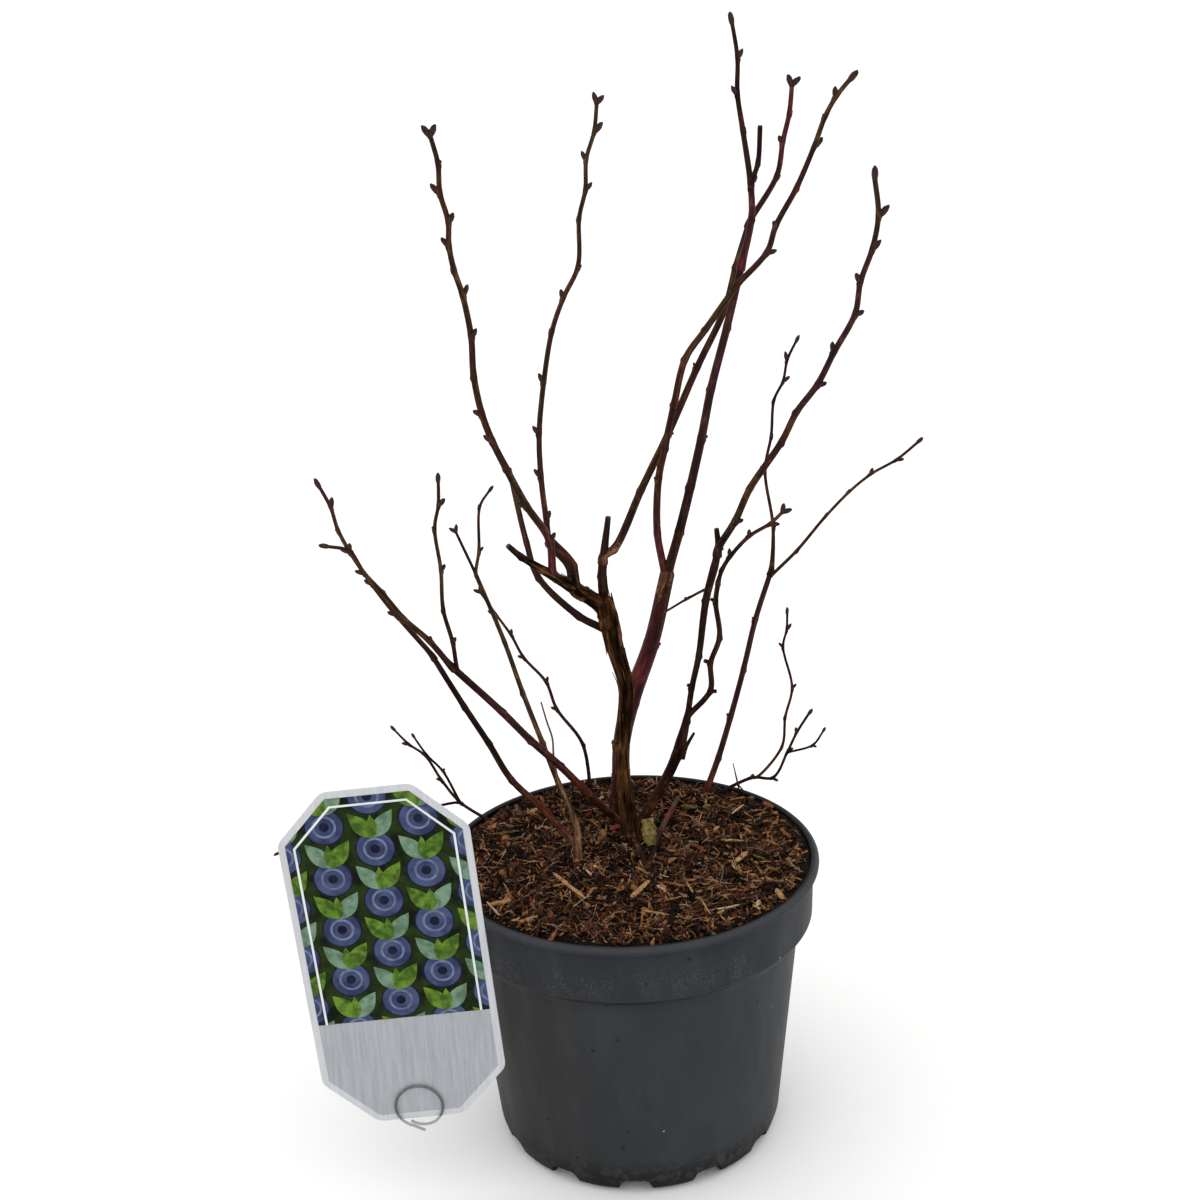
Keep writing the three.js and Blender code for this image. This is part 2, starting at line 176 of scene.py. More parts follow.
# Growth: the same limbs as in the CAD source, from the same rule and the same seeded numbers.
growth = {
    "boughInternode": 26,
    "tipInternode": 11,
    "boughSway": 0.4,
    "twigSway": 0.9,
    "sideTurn": 180,
    "sidePlay": 60,
    "leastBend": 6,
    "boughSeed": 101,
    "massSeed": 301,
    "budLength": 6.4,
    "budWidth": 2.9,
    "budLean": 0.6,
    "budRoot": 0.3,
    "budAtFoot": 0.55,
    "budSize": (0.4, 0.75),
    "tipLeans": {"pair": (-0.7, 0.55), "bud": (0.1,)},
    "fullBudGirth": 1.9,
    "leastFineness": 0.45,
    "nubShare": 0.36,
    "nub": (0.3, 0.66),
    "plumpBud": (4.9, 2.4),
    "budSeed": 41,
}
soil = {"edge": 147.5, "crown": 150, "flatRadius": 84}

# A leg is [length, lean from upright, heading round from +X]. "tan 0.3 rust" is tan bark and, from a share
# of 0.3 on, rust bark.
boughs = {
    "trunk": {
        "foot": [1, 22], "girth": [8.2, 7.2, 7.6, 9.6], "flare": 0.6, "tones": "old",
        "legs": [[36, 7, 135], [46, 5, 327], [47, 11, 186]],
    },
    "red_cane": {
        "foot": [-6.5, 49], "girth": [7.6, 8.4, 9.8, 8.2, 7.6], "flare": 0.2,
        "tones": "brown 0.14 wine 0.84 brown 0.95 tan",
        "legs": [[40, 6, 346], [26, 13, 346], [35, 20, 353], [38, 14, 354]],
    },
    "centre_cane": {
        "on": "red_cane", "at": 1, "girth": [4.9, 3.6], "tones": "brown 0.16 black 0.3 plum",
        "legs": [[47, 16, 4], [51, 13, 345], [63, 15, 342]],
    },
    "crossing_cane": {
        "on": "red_cane", "at": 0.97, "girth": [3.9, 3], "tones": "brown 0.08 wine 0.25 brown 0.82 olive",
        "legs": [[27, 8, 207], [32, 17, 278], [17, 16, 318], [46, 16, 327], [18, 36, 338], [25, 36, 348]],
    },
    "trunk_spur": {
        "on": "trunk", "at": 1, "girth": [4.8, 4.4, 2.6], "tip": "cut", "tones": "old 0.25 black",
        "legs": [[15, 2, 180], [30, 8, 346]],
    },
    "green_cane": {
        "on": "trunk_spur", "at": 0.55, "girth": [4, 3],
        "tones": "tan 0.05 black 0.22 olive 0.33 brown 0.86 olive",
        "legs": [[7, 61, 21], [62, 34, 35], [35, 30, 29], [31, 29, 19], [43, 17, 0]],
    },
    "left_bough": {
        "on": "trunk", "at": 0.97, "girth": [7.8, 6.8, 4.2, 2.6], "tip": "cut", "tones": "old 0.85 black",
        "legs": [[17, 49, 189], [38, 52, 204], [9, 44, 208]],
    },
    "red_spur": {
        "on": "left_bough", "at": 0.31, "girth": [6, 5.8, 6], "tones": "old 0.4 brown",
        "legs": [[12, 16, 124], [15, 47, 152]],
    },
    "back_bough": {
        "on": "trunk", "at": 0.87, "girth": [4.2, 3.2, 2.6], "tip": "cut",
        "tones": "old 0.1 black 0.35 plum 0.6 brown 0.85 olive",
        "legs": [[20, 67, 154], [28, 48, 158], [18, 25, 131], [38, 14, 139]],
    },
    "right_cane": {
        "foot": [5, 30], "girth": [5.2, 5.2, 5.4, 5.7, 3, 3, 3.3, 3.6, 4.1, 2.4], "flare": 0.4,
        "tip": "cut", "tones": "brown 0.2 black",
        "legs": [[29, 28, 352], [18, 24, 347], [23, 18, 322], [39, 15, 311], [31, 11, 312], [28, 15, 327],
                 [10, 3, 195]],
    },
    "knotted_cane": {
        "on": "right_cane", "at": 0.4, "girth": [3, 2.4], "tones": "black 0.3 brown 0.55 black",
        "legs": [[23, 39, 323], [18, 19, 272], [17, 24, 308], [21, 17, 253], [13, 23, 283]],
    },
    "slim_cane": {
        "foot": [42, 70], "girth": [3.4, 2.8], "flare": 0.3, "tones": "rust 0.14 plum",
        "legs": [[46, 21, 25], [55, 17, 25], [28, 19, 14]],
    },
    "long_left_cane": {
        "foot": [-6, 38], "girth": [4.2, 3.4], "flare": 0.4,
        "tones": "tan 0.08 brown 0.3 rust 0.4 plum 0.85 black",
        "legs": [[40, 43, 237], [66, 39, 197], [38, 40, 204]],
    },
    "short_left_cane": {
        "foot": [-29, 14], "girth": [3.8, 2.8], "flare": 0.4, "tones": "tan 0.14 rust 0.3 brown 0.6 black",
        "legs": [[22, 50, 143], [25, 45, 167], [46, 29, 170], [31, 28, 172]],
    },
    "fine_left_cane": {
        "foot": [-26, 1], "girth": [3.2, 2.2], "flare": 0.4,
        "tones": "tan 0.1 straw 0.22 olive 0.34 tan 0.5 olive",
        "legs": [[18, 47, 95], [45, 34, 129], [55, 29, 131], [38, 24, 148]],
    },
}

# Each mass has one stem, first in its list, and twigs that leave the stem or one another.
masses = {
    "twigs_left_tall": [{
        "on": "left_bough", "at": 0.52, "girth": [4, 2.1], "tip": "pair",
        "tones": "wine 0.13 olive 0.3 brown 0.62 olive 0.8 brown",
        "legs": [[22, 18, 259], [47, 30, 221], [32, 26, 232], [59, 16, 256], [13, 23, 239], [22, 16, 265],
                 [38, 14, 241]],
    }],
    "twigs_left_inner": [{
        "on": "red_spur", "at": 1, "girth": [3, 2], "tip": "pair",
        "tones": "wine 0.12 brown 0.3 olive 0.45 brown 0.7 olive",
        "legs": [[12, 16, 115], [42, 16, 98], [50, 20, 61], [34, 30, 35], [23, 15, 75], [57, 20, 56]],
    }],
    "twigs_leader": [{
        "on": "centre_cane", "at": 1, "girth": [3.6, 1.9], "tip": "bud", "tones": "wine 0.3 plum 0.6 black",
        "legs": [[21, 16, 31], [16, 15, 89], [25, 17, 112], [50, 16, 104]],
    }, {
        "at": 0.32, "girth": [2.5, 2.3], "tip": "cut", "tones": "black",
        "legs": [[13, 31, 297], [17, 13, 283]],
    }],
    "twigs_upper_right": [{
        "on": "green_cane", "at": 1, "girth": [3, 2.1], "tip": "pair", "tones": "plum 0.45 wine 0.8 rust",
        "legs": [[29, 38, 313], [18, 27, 285], [29, 24, 286]],
    }],
    "twigs_right_arch": [{
        "on": "crossing_cane", "at": 1, "girth": [3, 2], "tip": "bud",
        "tones": "brown 0.15 plum 0.4 brown 0.7 olive",
        "legs": [[24, 47, 318], [16, 35, 293], [41, 32, 314], [16, 34, 296], [20, 39, 320]],
    }],
    "twigs_right_tall": [{
        "on": "right_cane", "at": 0.94, "girth": [3.6, 2.2], "tip": "bud",
        "tones": "black 0.1 olive 0.25 brown 0.4 plum 0.9 olive",
        "legs": [[43, 34, 307], [30, 36, 320], [55, 35, 311], [21, 32, 315], [44, 17, 308], [17, 17, 242]],
    }],
    "twigs_knotted": [{
        "on": "knotted_cane", "at": 1, "girth": [2.2, 1.6], "tip": "pair", "tones": "black 0.5 brown",
        "legs": [[8, 26, 302], [8, 32, 332], [15, 42, 331], [12, 56, 342], [9, 45, 341]],
    }],
    "twigs_slim": [{
        "on": "slim_cane", "at": 1, "girth": [3, 1.8, 1.7, 1.6, 1.5, 1.4], "tip": "bud",
        "tones": "brown 0.6 black", "legs": [[23, 16, 74], [30, 17, 111], [37, 15, 53], [33, 24, 22]],
    }],
    "twigs_far_right": [{
        "on": "slim_cane", "at": 0.96, "girth": [1.9, 1.5, 1.4], "tip": "bud",
        "tones": "brown 0.4 olive 0.7 brown", "legs": [[48, 40, 337], [21, 42, 327], [46, 51, 333]],
    }],
    "twigs_left_upright": [{
        "on": "long_left_cane", "at": 0.96, "girth": [2.2, 1.6], "tip": "bud",
        "tones": "black 0.4 olive 0.75 brown", "legs": [[37, 15, 244], [43, 10, 267], [25, 13, 312]],
    }],
    "twigs_far_left_low": [{
        "on": "long_left_cane", "at": 1, "girth": [3.2, 1.6], "tip": "bud",
        "tones": "brown 0.35 olive 0.8 brown", "legs": [[55, 36, 210], [27, 32, 213], [12, 67, 212]],
    }],
    "twigs_far_left_high": [{
        "on": "short_left_cane", "at": 1, "girth": [2.8, 1.8], "tip": "bud",
        "tones": "brown 0.5 olive 0.8 brown", "legs": [[28, 39, 168], [39, 33, 169], [36, 24, 155]],
    }],
    "twigs_fine_left": [{
        "on": "fine_left_cane", "at": 1, "girth": [1.9, 1.3], "tip": "bud", "tones": "olive 0.5 brown",
        "legs": [[12, 22, 63], [23, 20, 79], [10, 42, 37]],
    }, {
        "on": "fine_left_cane", "at": 1, "girth": [1.7, 1.4], "tip": "pair", "tones": "black",
        "legs": [[25, 24, 158]],
    }],
    "twigs_back_left": [{
        "foot": [-20.4, 76], "girth": [2.1, 1.4], "tip": "pair", "tones": "black 0.3 brown 0.7 olive",
        "legs": [[30, 7, 145], [24, 34, 167], [16, 20, 159], [18, 41, 165], [28, 31, 164], [15, 33, 166]],
    }],
    "twigs_rim_left": [{
        "foot": [-70, 43], "girth": [1.8, 1.2], "tip": "bud", "tones": "black",
        "legs": [[23, 56, 168], [31, 35, 164], [22, 53, 159]],
    }, {
        "at": 0.3, "girth": [1.5, 1.1], "tip": "bud", "tones": "black",
        "legs": [[24, 25, 224], [27, 32, 204]],
    }, {
        "at": 0.3, "girth": [1.5, 1.1], "tip": "bud", "tones": "black",
        "legs": [[61, 89, 206], [39, 102, 195]],
    }],
    "twigs_rim_right": [{
        "foot": [46, 66], "girth": [2.1, 1.5, 1.4], "tip": "bud", "tones": "black 0.5 brown",
        "legs": [[24, 71, 20], [13, 78, 330], [22, 30, 313], [28, 28, 324]],
    }, {
        "at": 0.31, "girth": [1.6, 1.3], "tip": "bud", "tones": "brown 0.6 black",
        "legs": [[23, 59, 40], [33, 18, 50], [23, 19, 123], [19, 15, 55]],
    }, {
        "at": 0.66, "girth": [1.3, 1.1], "tip": "bud", "tones": "black",
        "legs": [[20, 61, 316], [12, 34, 321]],
    }],
    "twigs_cross": [{
        "on": "right_cane", "at": 0.82, "girth": [1.5, 1.1], "tip": "cut", "tones": "brown",
        "legs": [[28, 100, 218]],
    }],
}


def soilHeight(radius):
    share = np.minimum(np.asarray(radius) / soil["flatRadius"], 1)
    return soil["edge"] + (soil["crown"] - soil["edge"]) * (1 - share ** 2)


def seededNumbers(seed):
    state = seed
    while True:
        state = state * 16807 % 2147483647
        yield state / 2147483647


def unit(vectors):
    return vectors / np.linalg.norm(vectors, axis=-1, keepdims=True)


def direction(lean, heading):
    a, b = radians(lean), radians(heading)
    return np.array([sin(a) * cos(b), sin(a) * sin(b), cos(a)])


def sideways(along, angle):  # square to along: the +X side at 0 degrees, then round towards +Y
    right = unit(np.cross((0, 1, 0), along))
    back = np.cross(along, right)
    return right * cos(radians(angle)) + back * sin(radians(angle))


def splineThrough(knots, places):  # centripetal Catmull-Rom, at places counted in knots
    knots = np.vstack([2 * knots[0] - knots[1], knots, 2 * knots[-1] - knots[-2]])
    first = np.clip(np.floor(places).astype(int), 0, len(knots) - 4)
    w = (places - first)[:, None]
    a, b, c, d = (knots[first + i] for i in range(4))
    ways = (b - a, c - b, d - c)
    before, here, after = (np.sqrt(np.linalg.norm(way, axis=1, keepdims=True)) for way in ways)
    leave = ((b - a) / before - (c - a) / (before + here) + (c - b) / here) * here
    arrive = ((c - b) / here - (d - b) / (here + after) + (d - c) / after) * here
    bend = 3 * (c - b) - 2 * leave - arrive
    return b + leave * w + bend * w ** 2 + (2 * (b - c) + leave + arrive) * w ** 3


def curveThrough(knots):
    places = np.linspace(0, len(knots) - 1, 201)
    points = splineThrough(knots, places)
    lengths = np.concatenate([[0], np.cumsum(np.linalg.norm(np.diff(points, axis=0), axis=1))])
    return {"knots": knots, "places": places, "lengths": lengths}


def pointsOn(curve, shares):
    places = np.interp(np.atleast_1d(shares) * curve["lengths"][-1], curve["lengths"], curve["places"])
    return splineThrough(curve["knots"], places)


def runOn(curve, share):
    place = np.interp(share * curve["lengths"][-1], curve["lengths"], curve["places"])
    step = 0.0001 * curve["places"][-1]
    ends = np.clip([place - step, place + step], 0, curve["places"][-1])
    points = splineThrough(curve["knots"], ends)
    return unit(points[1] - points[0])


def startOf(limb, stem=None):
    if "foot" in limb:
        x, y = limb["foot"]
        return np.array([x, y, soilHeight(np.hypot(x, y))]), np.array([0.0, 0.0, 1.0])
    carrier = boughs[limb["on"]] if "on" in limb else stem
    share = carrier["lead"] + (1 - carrier["lead"]) * limb["at"]
    return pointsOn(carrier["curve"], share)[0], runOn(carrier["curve"], share)


def girthAt(limb, shares):
    return np.interp(shares, np.linspace(0, 1, len(limb["girth"])), limb["girth"])


def growLimb(limb, start, run, random, lastInternode, sway):
    nodes = []
    corner = start
    whole = sum(leg[0] for leg in limb["legs"])
    grownLength = 0
    turn = 0
    for leg, (length, lean, heading) in enumerate(limb["legs"]):
        along = direction(lean, heading)
        share = (grownLength + length / 2) / whole
        spacing = growth["boughInternode"] * (1 - share) + lastInternode * share
        count = max(1, int(length / spacing + 0.5))
        for i in range(1, count + 1):
            place = corner + along * length * i / count
            side = sideways(along, growth["sideTurn"] * turn + growth["sidePlay"] * (next(random) - 0.5))
            if i < count:
                place = place + side * sway
            elif leg + 1 < len(limb["legs"]):  # a node at a bend faces the outside of that bend
                ahead = direction(*limb["legs"][leg + 1][1:])
                if ahead.dot(along) < cos(radians(growth["leastBend"])):
                    side = unit(along * along.dot(ahead) - ahead)
            nodes.append({"place": place, "along": along, "side": side})
            turn += 1
        corner = corner + along * length
        grownLength += length
    root = start - run * limb["girth"][0]
    limb["curve"] = curveThrough(np.array([root, start, *[node["place"] for node in nodes]]))
    limb["lead"] = limb["girth"][0] / limb["curve"]["lengths"][-1]
    limb["nodes"] = nodes


def growBuds(limb, random):  # (root, direction, length, width) of each bud, larger towards the tip
    buds = []
    last = len(limb["nodes"]) - 1
    least, spread = growth["budSize"]
    for index, node in enumerate(limb["nodes"]):
        share = (index + 1) / (last + 1)
        size = (growth["budAtFoot"] * (1 - share) + share) * (least + spread * next(random) ** 0.5)
        if index < last:
            root = node["place"] + node["side"] * girthAt(limb, share) * growth["budRoot"]
            tip = unit(node["along"] + node["side"] * growth["budLean"])
            buds.append((root, tip, growth["budLength"] * size, growth["budWidth"] * size))
        elif limb["tip"] != "cut":
            for lean in growth["tipLeans"][limb["tip"]]:
                tip = unit(node["along"] + node["side"] * lean)
                buds.append((node["place"] - node["along"], tip, growth["budLength"], growth["budWidth"]))
    return buds


budList = []
budRandom = np.random.default_rng(growth["budSeed"])
for boughIndex, bough in enumerate(boughs.values()):
    boughNumbers = seededNumbers(growth["boughSeed"] + boughIndex)
    growLimb(bough, *startOf(bough), boughNumbers, growth["boughInternode"], growth["boughSway"])
for massIndex, twigs in enumerate(masses.values()):
    massNumbers = seededNumbers(growth["massSeed"] + massIndex)
    for twig in twigs:
        growLimb(twig, *startOf(twig, twigs[0]), massNumbers, growth["tipInternode"], growth["twigSway"])
        fine = np.clip(twig["girth"][-1] / growth["fullBudGirth"], growth["leastFineness"], 1)
        for root, tip, *size in growBuds(twig, massNumbers):
            if size[1] < growth["budWidth"]:  # some buds beside a twig are no more than a shoulder
                isNub = budRandom.random() < growth["nubShare"]
                size = np.multiply(size, growth["nub"]) if isNub else np.maximum(size, growth["plumpBud"])
            budList.append((root, tip, *np.multiply(size, fine)))
print("grown:", len(boughs), "boughs,", len(masses), "masses,", len(budList), "buds")

# Bark. Colours run from the bottom of a crevice through the skin to the worn ridges.
plainLook = {"drawn": 0.3, "fleck": 1.6, "depth": 0.45, "stops": (0.15, 0.45, 0.7, 0.88)}
barkLook = {
    "old": {"colours": ["#0a0604", "#231409", "#402816", "#6e5034"], "roughness": 0.88, "shine": 0.02,
            "drawn": 0.07, "fleck": 1, "depth": 0.7, "stops": (0.36, 0.52, 0.68, 0.86)},
    "black": {"colours": ["#100705", "#1b0c09", "#25120c", "#3c2519"], "roughness": 0.62, "shine": 0.07},
    "plum": {"colours": ["#150707", "#26100e", "#331714", "#4b2a22"], "roughness": 0.54, "shine": 0.1},
    "wine": {"colours": ["#1e070a", "#350f15", "#46161b", "#612e2b"], "roughness": 0.5, "shine": 0.12},
    "brown": {"colours": ["#180b06", "#2a150d", "#391d13", "#51311f"], "roughness": 0.62, "shine": 0.07},
    "rust": {"colours": ["#240d08", "#401910", "#522518", "#693b27"], "roughness": 0.66, "shine": 0.08},
    "olive": {"colours": ["#150d07", "#2a1b0e", "#3e2a15", "#5a4224"], "roughness": 0.58, "shine": 0.08},
    "tan": {"colours": ["#2a1812", "#472c21", "#5f3f30", "#7c5a45"], "roughness": 0.75, "shine": 0.05},
    "straw": {"colours": ["#33211a", "#59402e", "#77593f", "#957650"], "roughness": 0.8, "shine": 0.05},
}


def barkMaterial(name, look):
    # Living bark, grown and weathered: a thin waxy skin when young, dull corky strips when old.
    look = {**plainLook, **look}
    material = newMaterial(name)
    where = placeOnPiece(material, (1, 1, look["drawn"]))
    relief = addNode(where, "Attribute", {"attribute_name": "relief"}).outputs["Fac"]
    flecks = addNode(where, "TexNoise", grain(look["fleck"], 4, 0.65), {"Vector": where})
    height = addNode(where, "Math", {"operation": "MULTIPLY_ADD", 1: look["depth"]}, {0: flecks, 2: relief})
    span = {"From Min": 0.3, "From Max": 0.85 + look["depth"]}
    level = addNode(where, "MapRange", span, {"Value": height})
    colours = zip(look["stops"], look["colours"])
    colour = addNode(where, "ValToRGB", links={"Fac": level}, stops=colours)
    shades = [(0.3, look["roughness"] - 0.1), (0.7, look["roughness"] + 0.08)]
    wear = addNode(where, "ValToRGB", links={"Fac": flecks}, stops=shades)
    links = {"Base Color": colour, "Roughness": wear, "Normal": pitted(where, grain(0.5, 5, 0.7), 0.12)}
    return coat(material, {"IOR": 1.45, "Specular IOR Level": look["shine"]}, links)


def cutWoodMaterial():
    # Pruned blueberry wood, cut with secateurs and dried grey-brown: dull and mottled.
    material = newMaterial("cutWood")
    stops = [(0.3, "#2c2420"), (0.55, "#4b4038"), (0.8, "#6d6054")]
    colour = mottled(placeOnPiece(material), grain(0.9), stops)
    return coat(material, {"Roughness": 0.85, "IOR": 1.45, "Specular IOR Level": 0.1}, {"Base Color": colour})


barks = {name: barkMaterial(name + "Bark", look) for name, look in barkLook.items()}
barks["cut"] = cutWoodMaterial()
toneNames = list(barks)

skin = {  # cells: ridges round the limb, the length of one in mm, and its depth
    "bough": {"sides": 34, "spacing": 0.8, "cells": [(9, 16, 0.1), (17, 5, 0.06)]},
    "trunk": {"sides": 96, "spacing": 0.55, "cells": [(8, 26, 0.6), (19, 13, 0.5), (40, 6, 0.28)]},
    "old": {"sides": 60, "spacing": 0.6, "cells": [(7, 20, 0.45), (15, 9, 0.34), (28, 5, 0.2)]},
    "twig": {"sides": 16, "spacing": 0.9, "cells": [(6, 12, 0.06), (11, 4, 0.05)]},
    "meanRidge": 0.6,
    "flareReach": 1.6,
    "collar": 0.32,
    "collarReach": 1.5,
    "nodeSwelling": 0.12,
    "nodeLength": 1.7,
    "ledge": 0.45,
    "ledgeDrop": 1.1,
    "ledgeHalf": 0.75,
    "ledgeRelief": 0.25,
    "cutCap": [(0.93, 0.14), (0.76, 0.24), (0.4, 0.28)],
    "domeCap": [(0.9, 0.3), (0.7, 0.6), (0.35, 0.82)],
    "toneCells": [(5, 9), (12, 3)],
    "toneBlur": 0.09,
    "toneSpray": 0.1,
    "boughSeed": 500,
    "massSeed": 600,
    "scrapSeed": 800,
}


def smoothStep(x):
    return x * x * (3 - 2 * x)


def roundNoise(random, rings, sides, cellsRound, cellRings):  # 0 to 1 over a skin, closed round the limb
    v = np.arange(rings) / cellRings
    u = np.arange(sides) * cellsRound / sides
    grid = random.random((int(v[-1]) + 2, cellsRound))
    i, j = v.astype(int), u.astype(int)
    a, b = smoothStep(v - i)[:, None], smoothStep(u - j)[None, :]
    k = (j + 1) % cellsRound
    low = grid[i][:, j] * (1 - b) + grid[i][:, k] * b
    high = grid[i + 1][:, j] * (1 - b) + grid[i + 1][:, k] * b
    return low * (1 - a) + high * a


def ringAxes(centres):  # two axes square to the limb at each ring, carried along without twist
    runs = unit(np.gradient(centres, axis=0))
    across = [sideways(runs[0], 0)]
    for run in runs[1:]:
        across.append(unit(across[-1] - run * across[-1].dot(run)))
    return runs, np.array(across), np.cross(runs, np.array(across))


def limbGirth(limb, shares, away):  # flared at a stem's foot, with a collar where a branch leaves
    first = limb["girth"][0]
    girth = girthAt(limb, shares) * (1 + limb.get("flare", 0) * np.exp(-away / (skin["flareReach"] * first)))
    if "foot" in limb:
        return girth
    return girth * (1 + skin["collar"] * np.exp(-(away / (skin["collarReach"] * first)) ** 2))


def barkTones(limb, random, shares, look):  # the bark of each face, with blurred and sprayed borders
    rings, sides = len(shares), look["sides"]
    where = np.zeros((rings, sides))
    for cells, cellLength in skin["toneCells"]:
        blotches = roundNoise(random, rings, sides, cells, cellLength / look["spacing"])
        where += (blotches - 0.5) * skin["toneBlur"]
    where += shares[:, None] + (random.random((rings, sides)) - 0.5) * skin["toneSpray"]
    words = limb["tones"].split()
    tones = np.full((rings, sides), toneNames.index(words[0]))
    for start, name in zip(words[1::2], words[2::2]):
        tones[where >= float(start)] = toneNames.index(name)
    return tones


def limbSkin(limb, look, seed):
    random = np.random.default_rng(seed)
    length = limb["curve"]["lengths"][-1]
    rings, sides = ceil(length / look["spacing"]) + 1, look["sides"]
    shares = np.linspace(0, 1, rings)
    away = shares * length
    centres = pointsOn(limb["curve"], shares)
    runs, across, back = ringAxes(centres)
    girth = limbGirth(limb, shares, away)
    radius = np.repeat(girth[:, None] / 2, sides, axis=1)
    relief = np.zeros((rings, sides))
    total = sum(depth for _, _, depth in look["cells"])
    for cells, cellLength, depth in look["cells"]:
        ridge = 1 - np.abs(2 * roundNoise(random, rings, sides, cells, cellLength / look["spacing"]) - 1)
        relief += ridge * depth / total
    radius += (relief - skin["meanRidge"]) * total * (girth / girth.max())[:, None]
    for index, node in enumerate(limb["nodes"][:-1]):
        fromNode = away - np.interp(index + 2, limb["curve"]["places"], limb["curve"]["lengths"])
        ring = np.abs(fromNode).argmin()
        angle = np.arctan2(node["side"].dot(back[ring]), node["side"].dot(across[ring]))
        turned = (anglesRound(sides) - angle + pi) % (2 * pi) - pi
        swelling = np.exp(-(fromNode / skin["nodeLength"]) ** 2)
        belowNode = np.exp(-(fromNode / skin["ledgeDrop"] + 1) ** 2)
        ledge = belowNode[:, None] * np.exp(-(turned / skin["ledgeHalf"]) ** 2)
        radius += skin["nodeSwelling"] * swelling[:, None] + skin["ledge"] * ledge
        relief = np.clip(relief + skin["ledgeRelief"] * ledge, 0, 1)
    points = centres[:, None, :] + radius[..., None] * outwards(across, back, sides)
    isCut = limb.get("tip") == "cut"
    caps = [centres[-1] + runs[-1] * girth[-1] / 2 * rise + (points[-1] - centres[-1]) * width
            for width, rise in skin["cutCap" if isCut else "domeCap"]]
    points = np.concatenate([points, caps])
    relief = np.concatenate([relief, np.repeat(relief[-1:], len(caps), axis=0)])
    tones = barkTones(limb, random, shares, look)[:-1]
    end = np.full_like(tones[-1], toneNames.index("cut")) if isCut else tones[-1]
    slots = [*tones.ravel(), *np.tile(end, len(caps)), toneNames.index(limb["tones"].split()[0]), end[0]]
    return points.reshape(-1, 3), tubeFaces(len(points), sides), slots, relief.ravel()


def skinnedPiece(name, skins):  # skins: the points, faces, slots and relief of each limb
    points, faces, slots = joined([part[:3] for part in skins])
    relief = np.concatenate([part[3] for part in skins])
    return makePiece(name, points, faces, list(barks.values()), slots, relief)


barkSlots = {name: slotName for slotName, names in {
    "old_bark": ["trunk", "trunk_spur", "left_bough", "red_spur", "knotted_cane"],
    "red_bark": ["red_cane", "centre_cane", "back_bough", "slim_cane", "long_left_cane"],
    "cane_bark": ["crossing_cane", "green_cane", "right_cane", "short_left_cane", "fine_left_cane"],
}.items() for name in names}
skinOf = {"trunk": "trunk", "left_bough": "old", "trunk_spur": "old"}

for boughIndex, (boughName, bough) in enumerate(boughs.items()):
    barkSkin = limbSkin(bough, skin[skinOf.get(boughName, "bough")], skin["boughSeed"] + boughIndex)
    settle(skinnedPiece(boughName + "_bark", [barkSkin]), barkSlots[boughName], boughName)
for massIndex, (massName, twigs) in enumerate(masses.items()):
    seed = skin["massSeed"] + 10 * massIndex
    skins = [limbSkin(twig, skin["twig"], seed + twigIndex) for twigIndex, twig in enumerate(twigs)]
    settle(skinnedPiece(massName + "_wood", skins), "twig_bark", massName)
print("bark: all limbs and twigs")

# Buds: a core with overlapping scales round it.
budLook = {
    "outline": [(-0.2, 0.7), (0, 0.86), (0.2, 0.98), (0.42, 1), (0.66, 0.92), (0.84, 0.7), (0.94, 0.46),
                (1, 0.14)],
    "slimness": 0.92,
    "shortness": 0.88,
    "coreSides": 10,
    "coreWidth": 0.46,
    "scales": 7,
    "scaleSteps": 5,
    "scalePitch": 0.07,
    "scaleStart": -0.05,
    "scaleLength": 0.55,
    "scaleTop": 0.93,
    "scaleHalf": 78,
    "scaleTurn": 137.5,
    "dormantShare": 0.35,
    "dormantSize": (0.8, 0.5),
    "dormantLength": 2,
    "dormantWidth": 1.4,
    "dormantLean": 0.9,
    "dormantRoot": 0.42,
    "colours": {
        "budCore": ("#16100d", "#26201b"),
        "budScaleBrown": ("#1e1009", "#3a2417"),
        "budScaleRed": ("#250f0e", "#42211a"),
    },
}


def budMaterial(name, low, high):
    # Bud scales, dry and leathery with a slight wax: dark, and hardly lighter than the twig at their edges.
    material = newMaterial(name)
    colour = mottled(placeOnPiece(material), grain(0.8), [(0.35, low), (0.7, high)])
    return coat(material, {"Roughness": 0.5, "IOR": 1.45, "Specular IOR Level": 0.2}, {"Base Color": colour})


def budScale(k, heights, widths):  # the scale k of a bud: an outer and an inner sheet that narrow upwards
    steps = budLook["scaleSteps"]
    low = budLook["scalePitch"] * k + budLook["scaleStart"]
    high = min(low + budLook["scaleLength"], budLook["scaleTop"])
    points = []
    for layer in (1, 0):
        for v in np.linspace(0, 1, steps):
            height = low + (high - low) * v
            half = radians(budLook["scaleHalf"]) * (1 - v ** 1.8) ** 0.75 + 0.02
            thickness = (0.015 + 0.05 * v * (1 - v) + 0.03 * v) * layer
            radius = 0.5 * np.interp(height, heights, widths) + thickness
            for u in np.linspace(-1, 1, steps):
                a = k * radians(budLook["scaleTurn"]) + half * u
                edge = radius - 0.03 * u * u * layer
                points.append([edge * cos(a), edge * sin(a), height])
    faces = []
    sheet = steps * steps
    for a in [steps * i + j for i in range(steps - 1) for j in range(steps - 1)]:
        corners = (a, a + 1, a + steps + 1, a + steps)
        faces += [corners, tuple(corner + sheet for corner in (corners[0], *corners[:0:-1]))]
    rim = [*range(steps), *range(2 * steps - 1, sheet, steps), *range(sheet - 2, sheet - steps - 1, -1),
           *range(sheet - 2 * steps, 0, -steps)]
    faces += [(a, a + sheet, b + sheet, b) for a, b in zip(rim, rim[1:] + rim[:1])]
    return np.array(points), faces, [1 + k % 2] * len(faces)


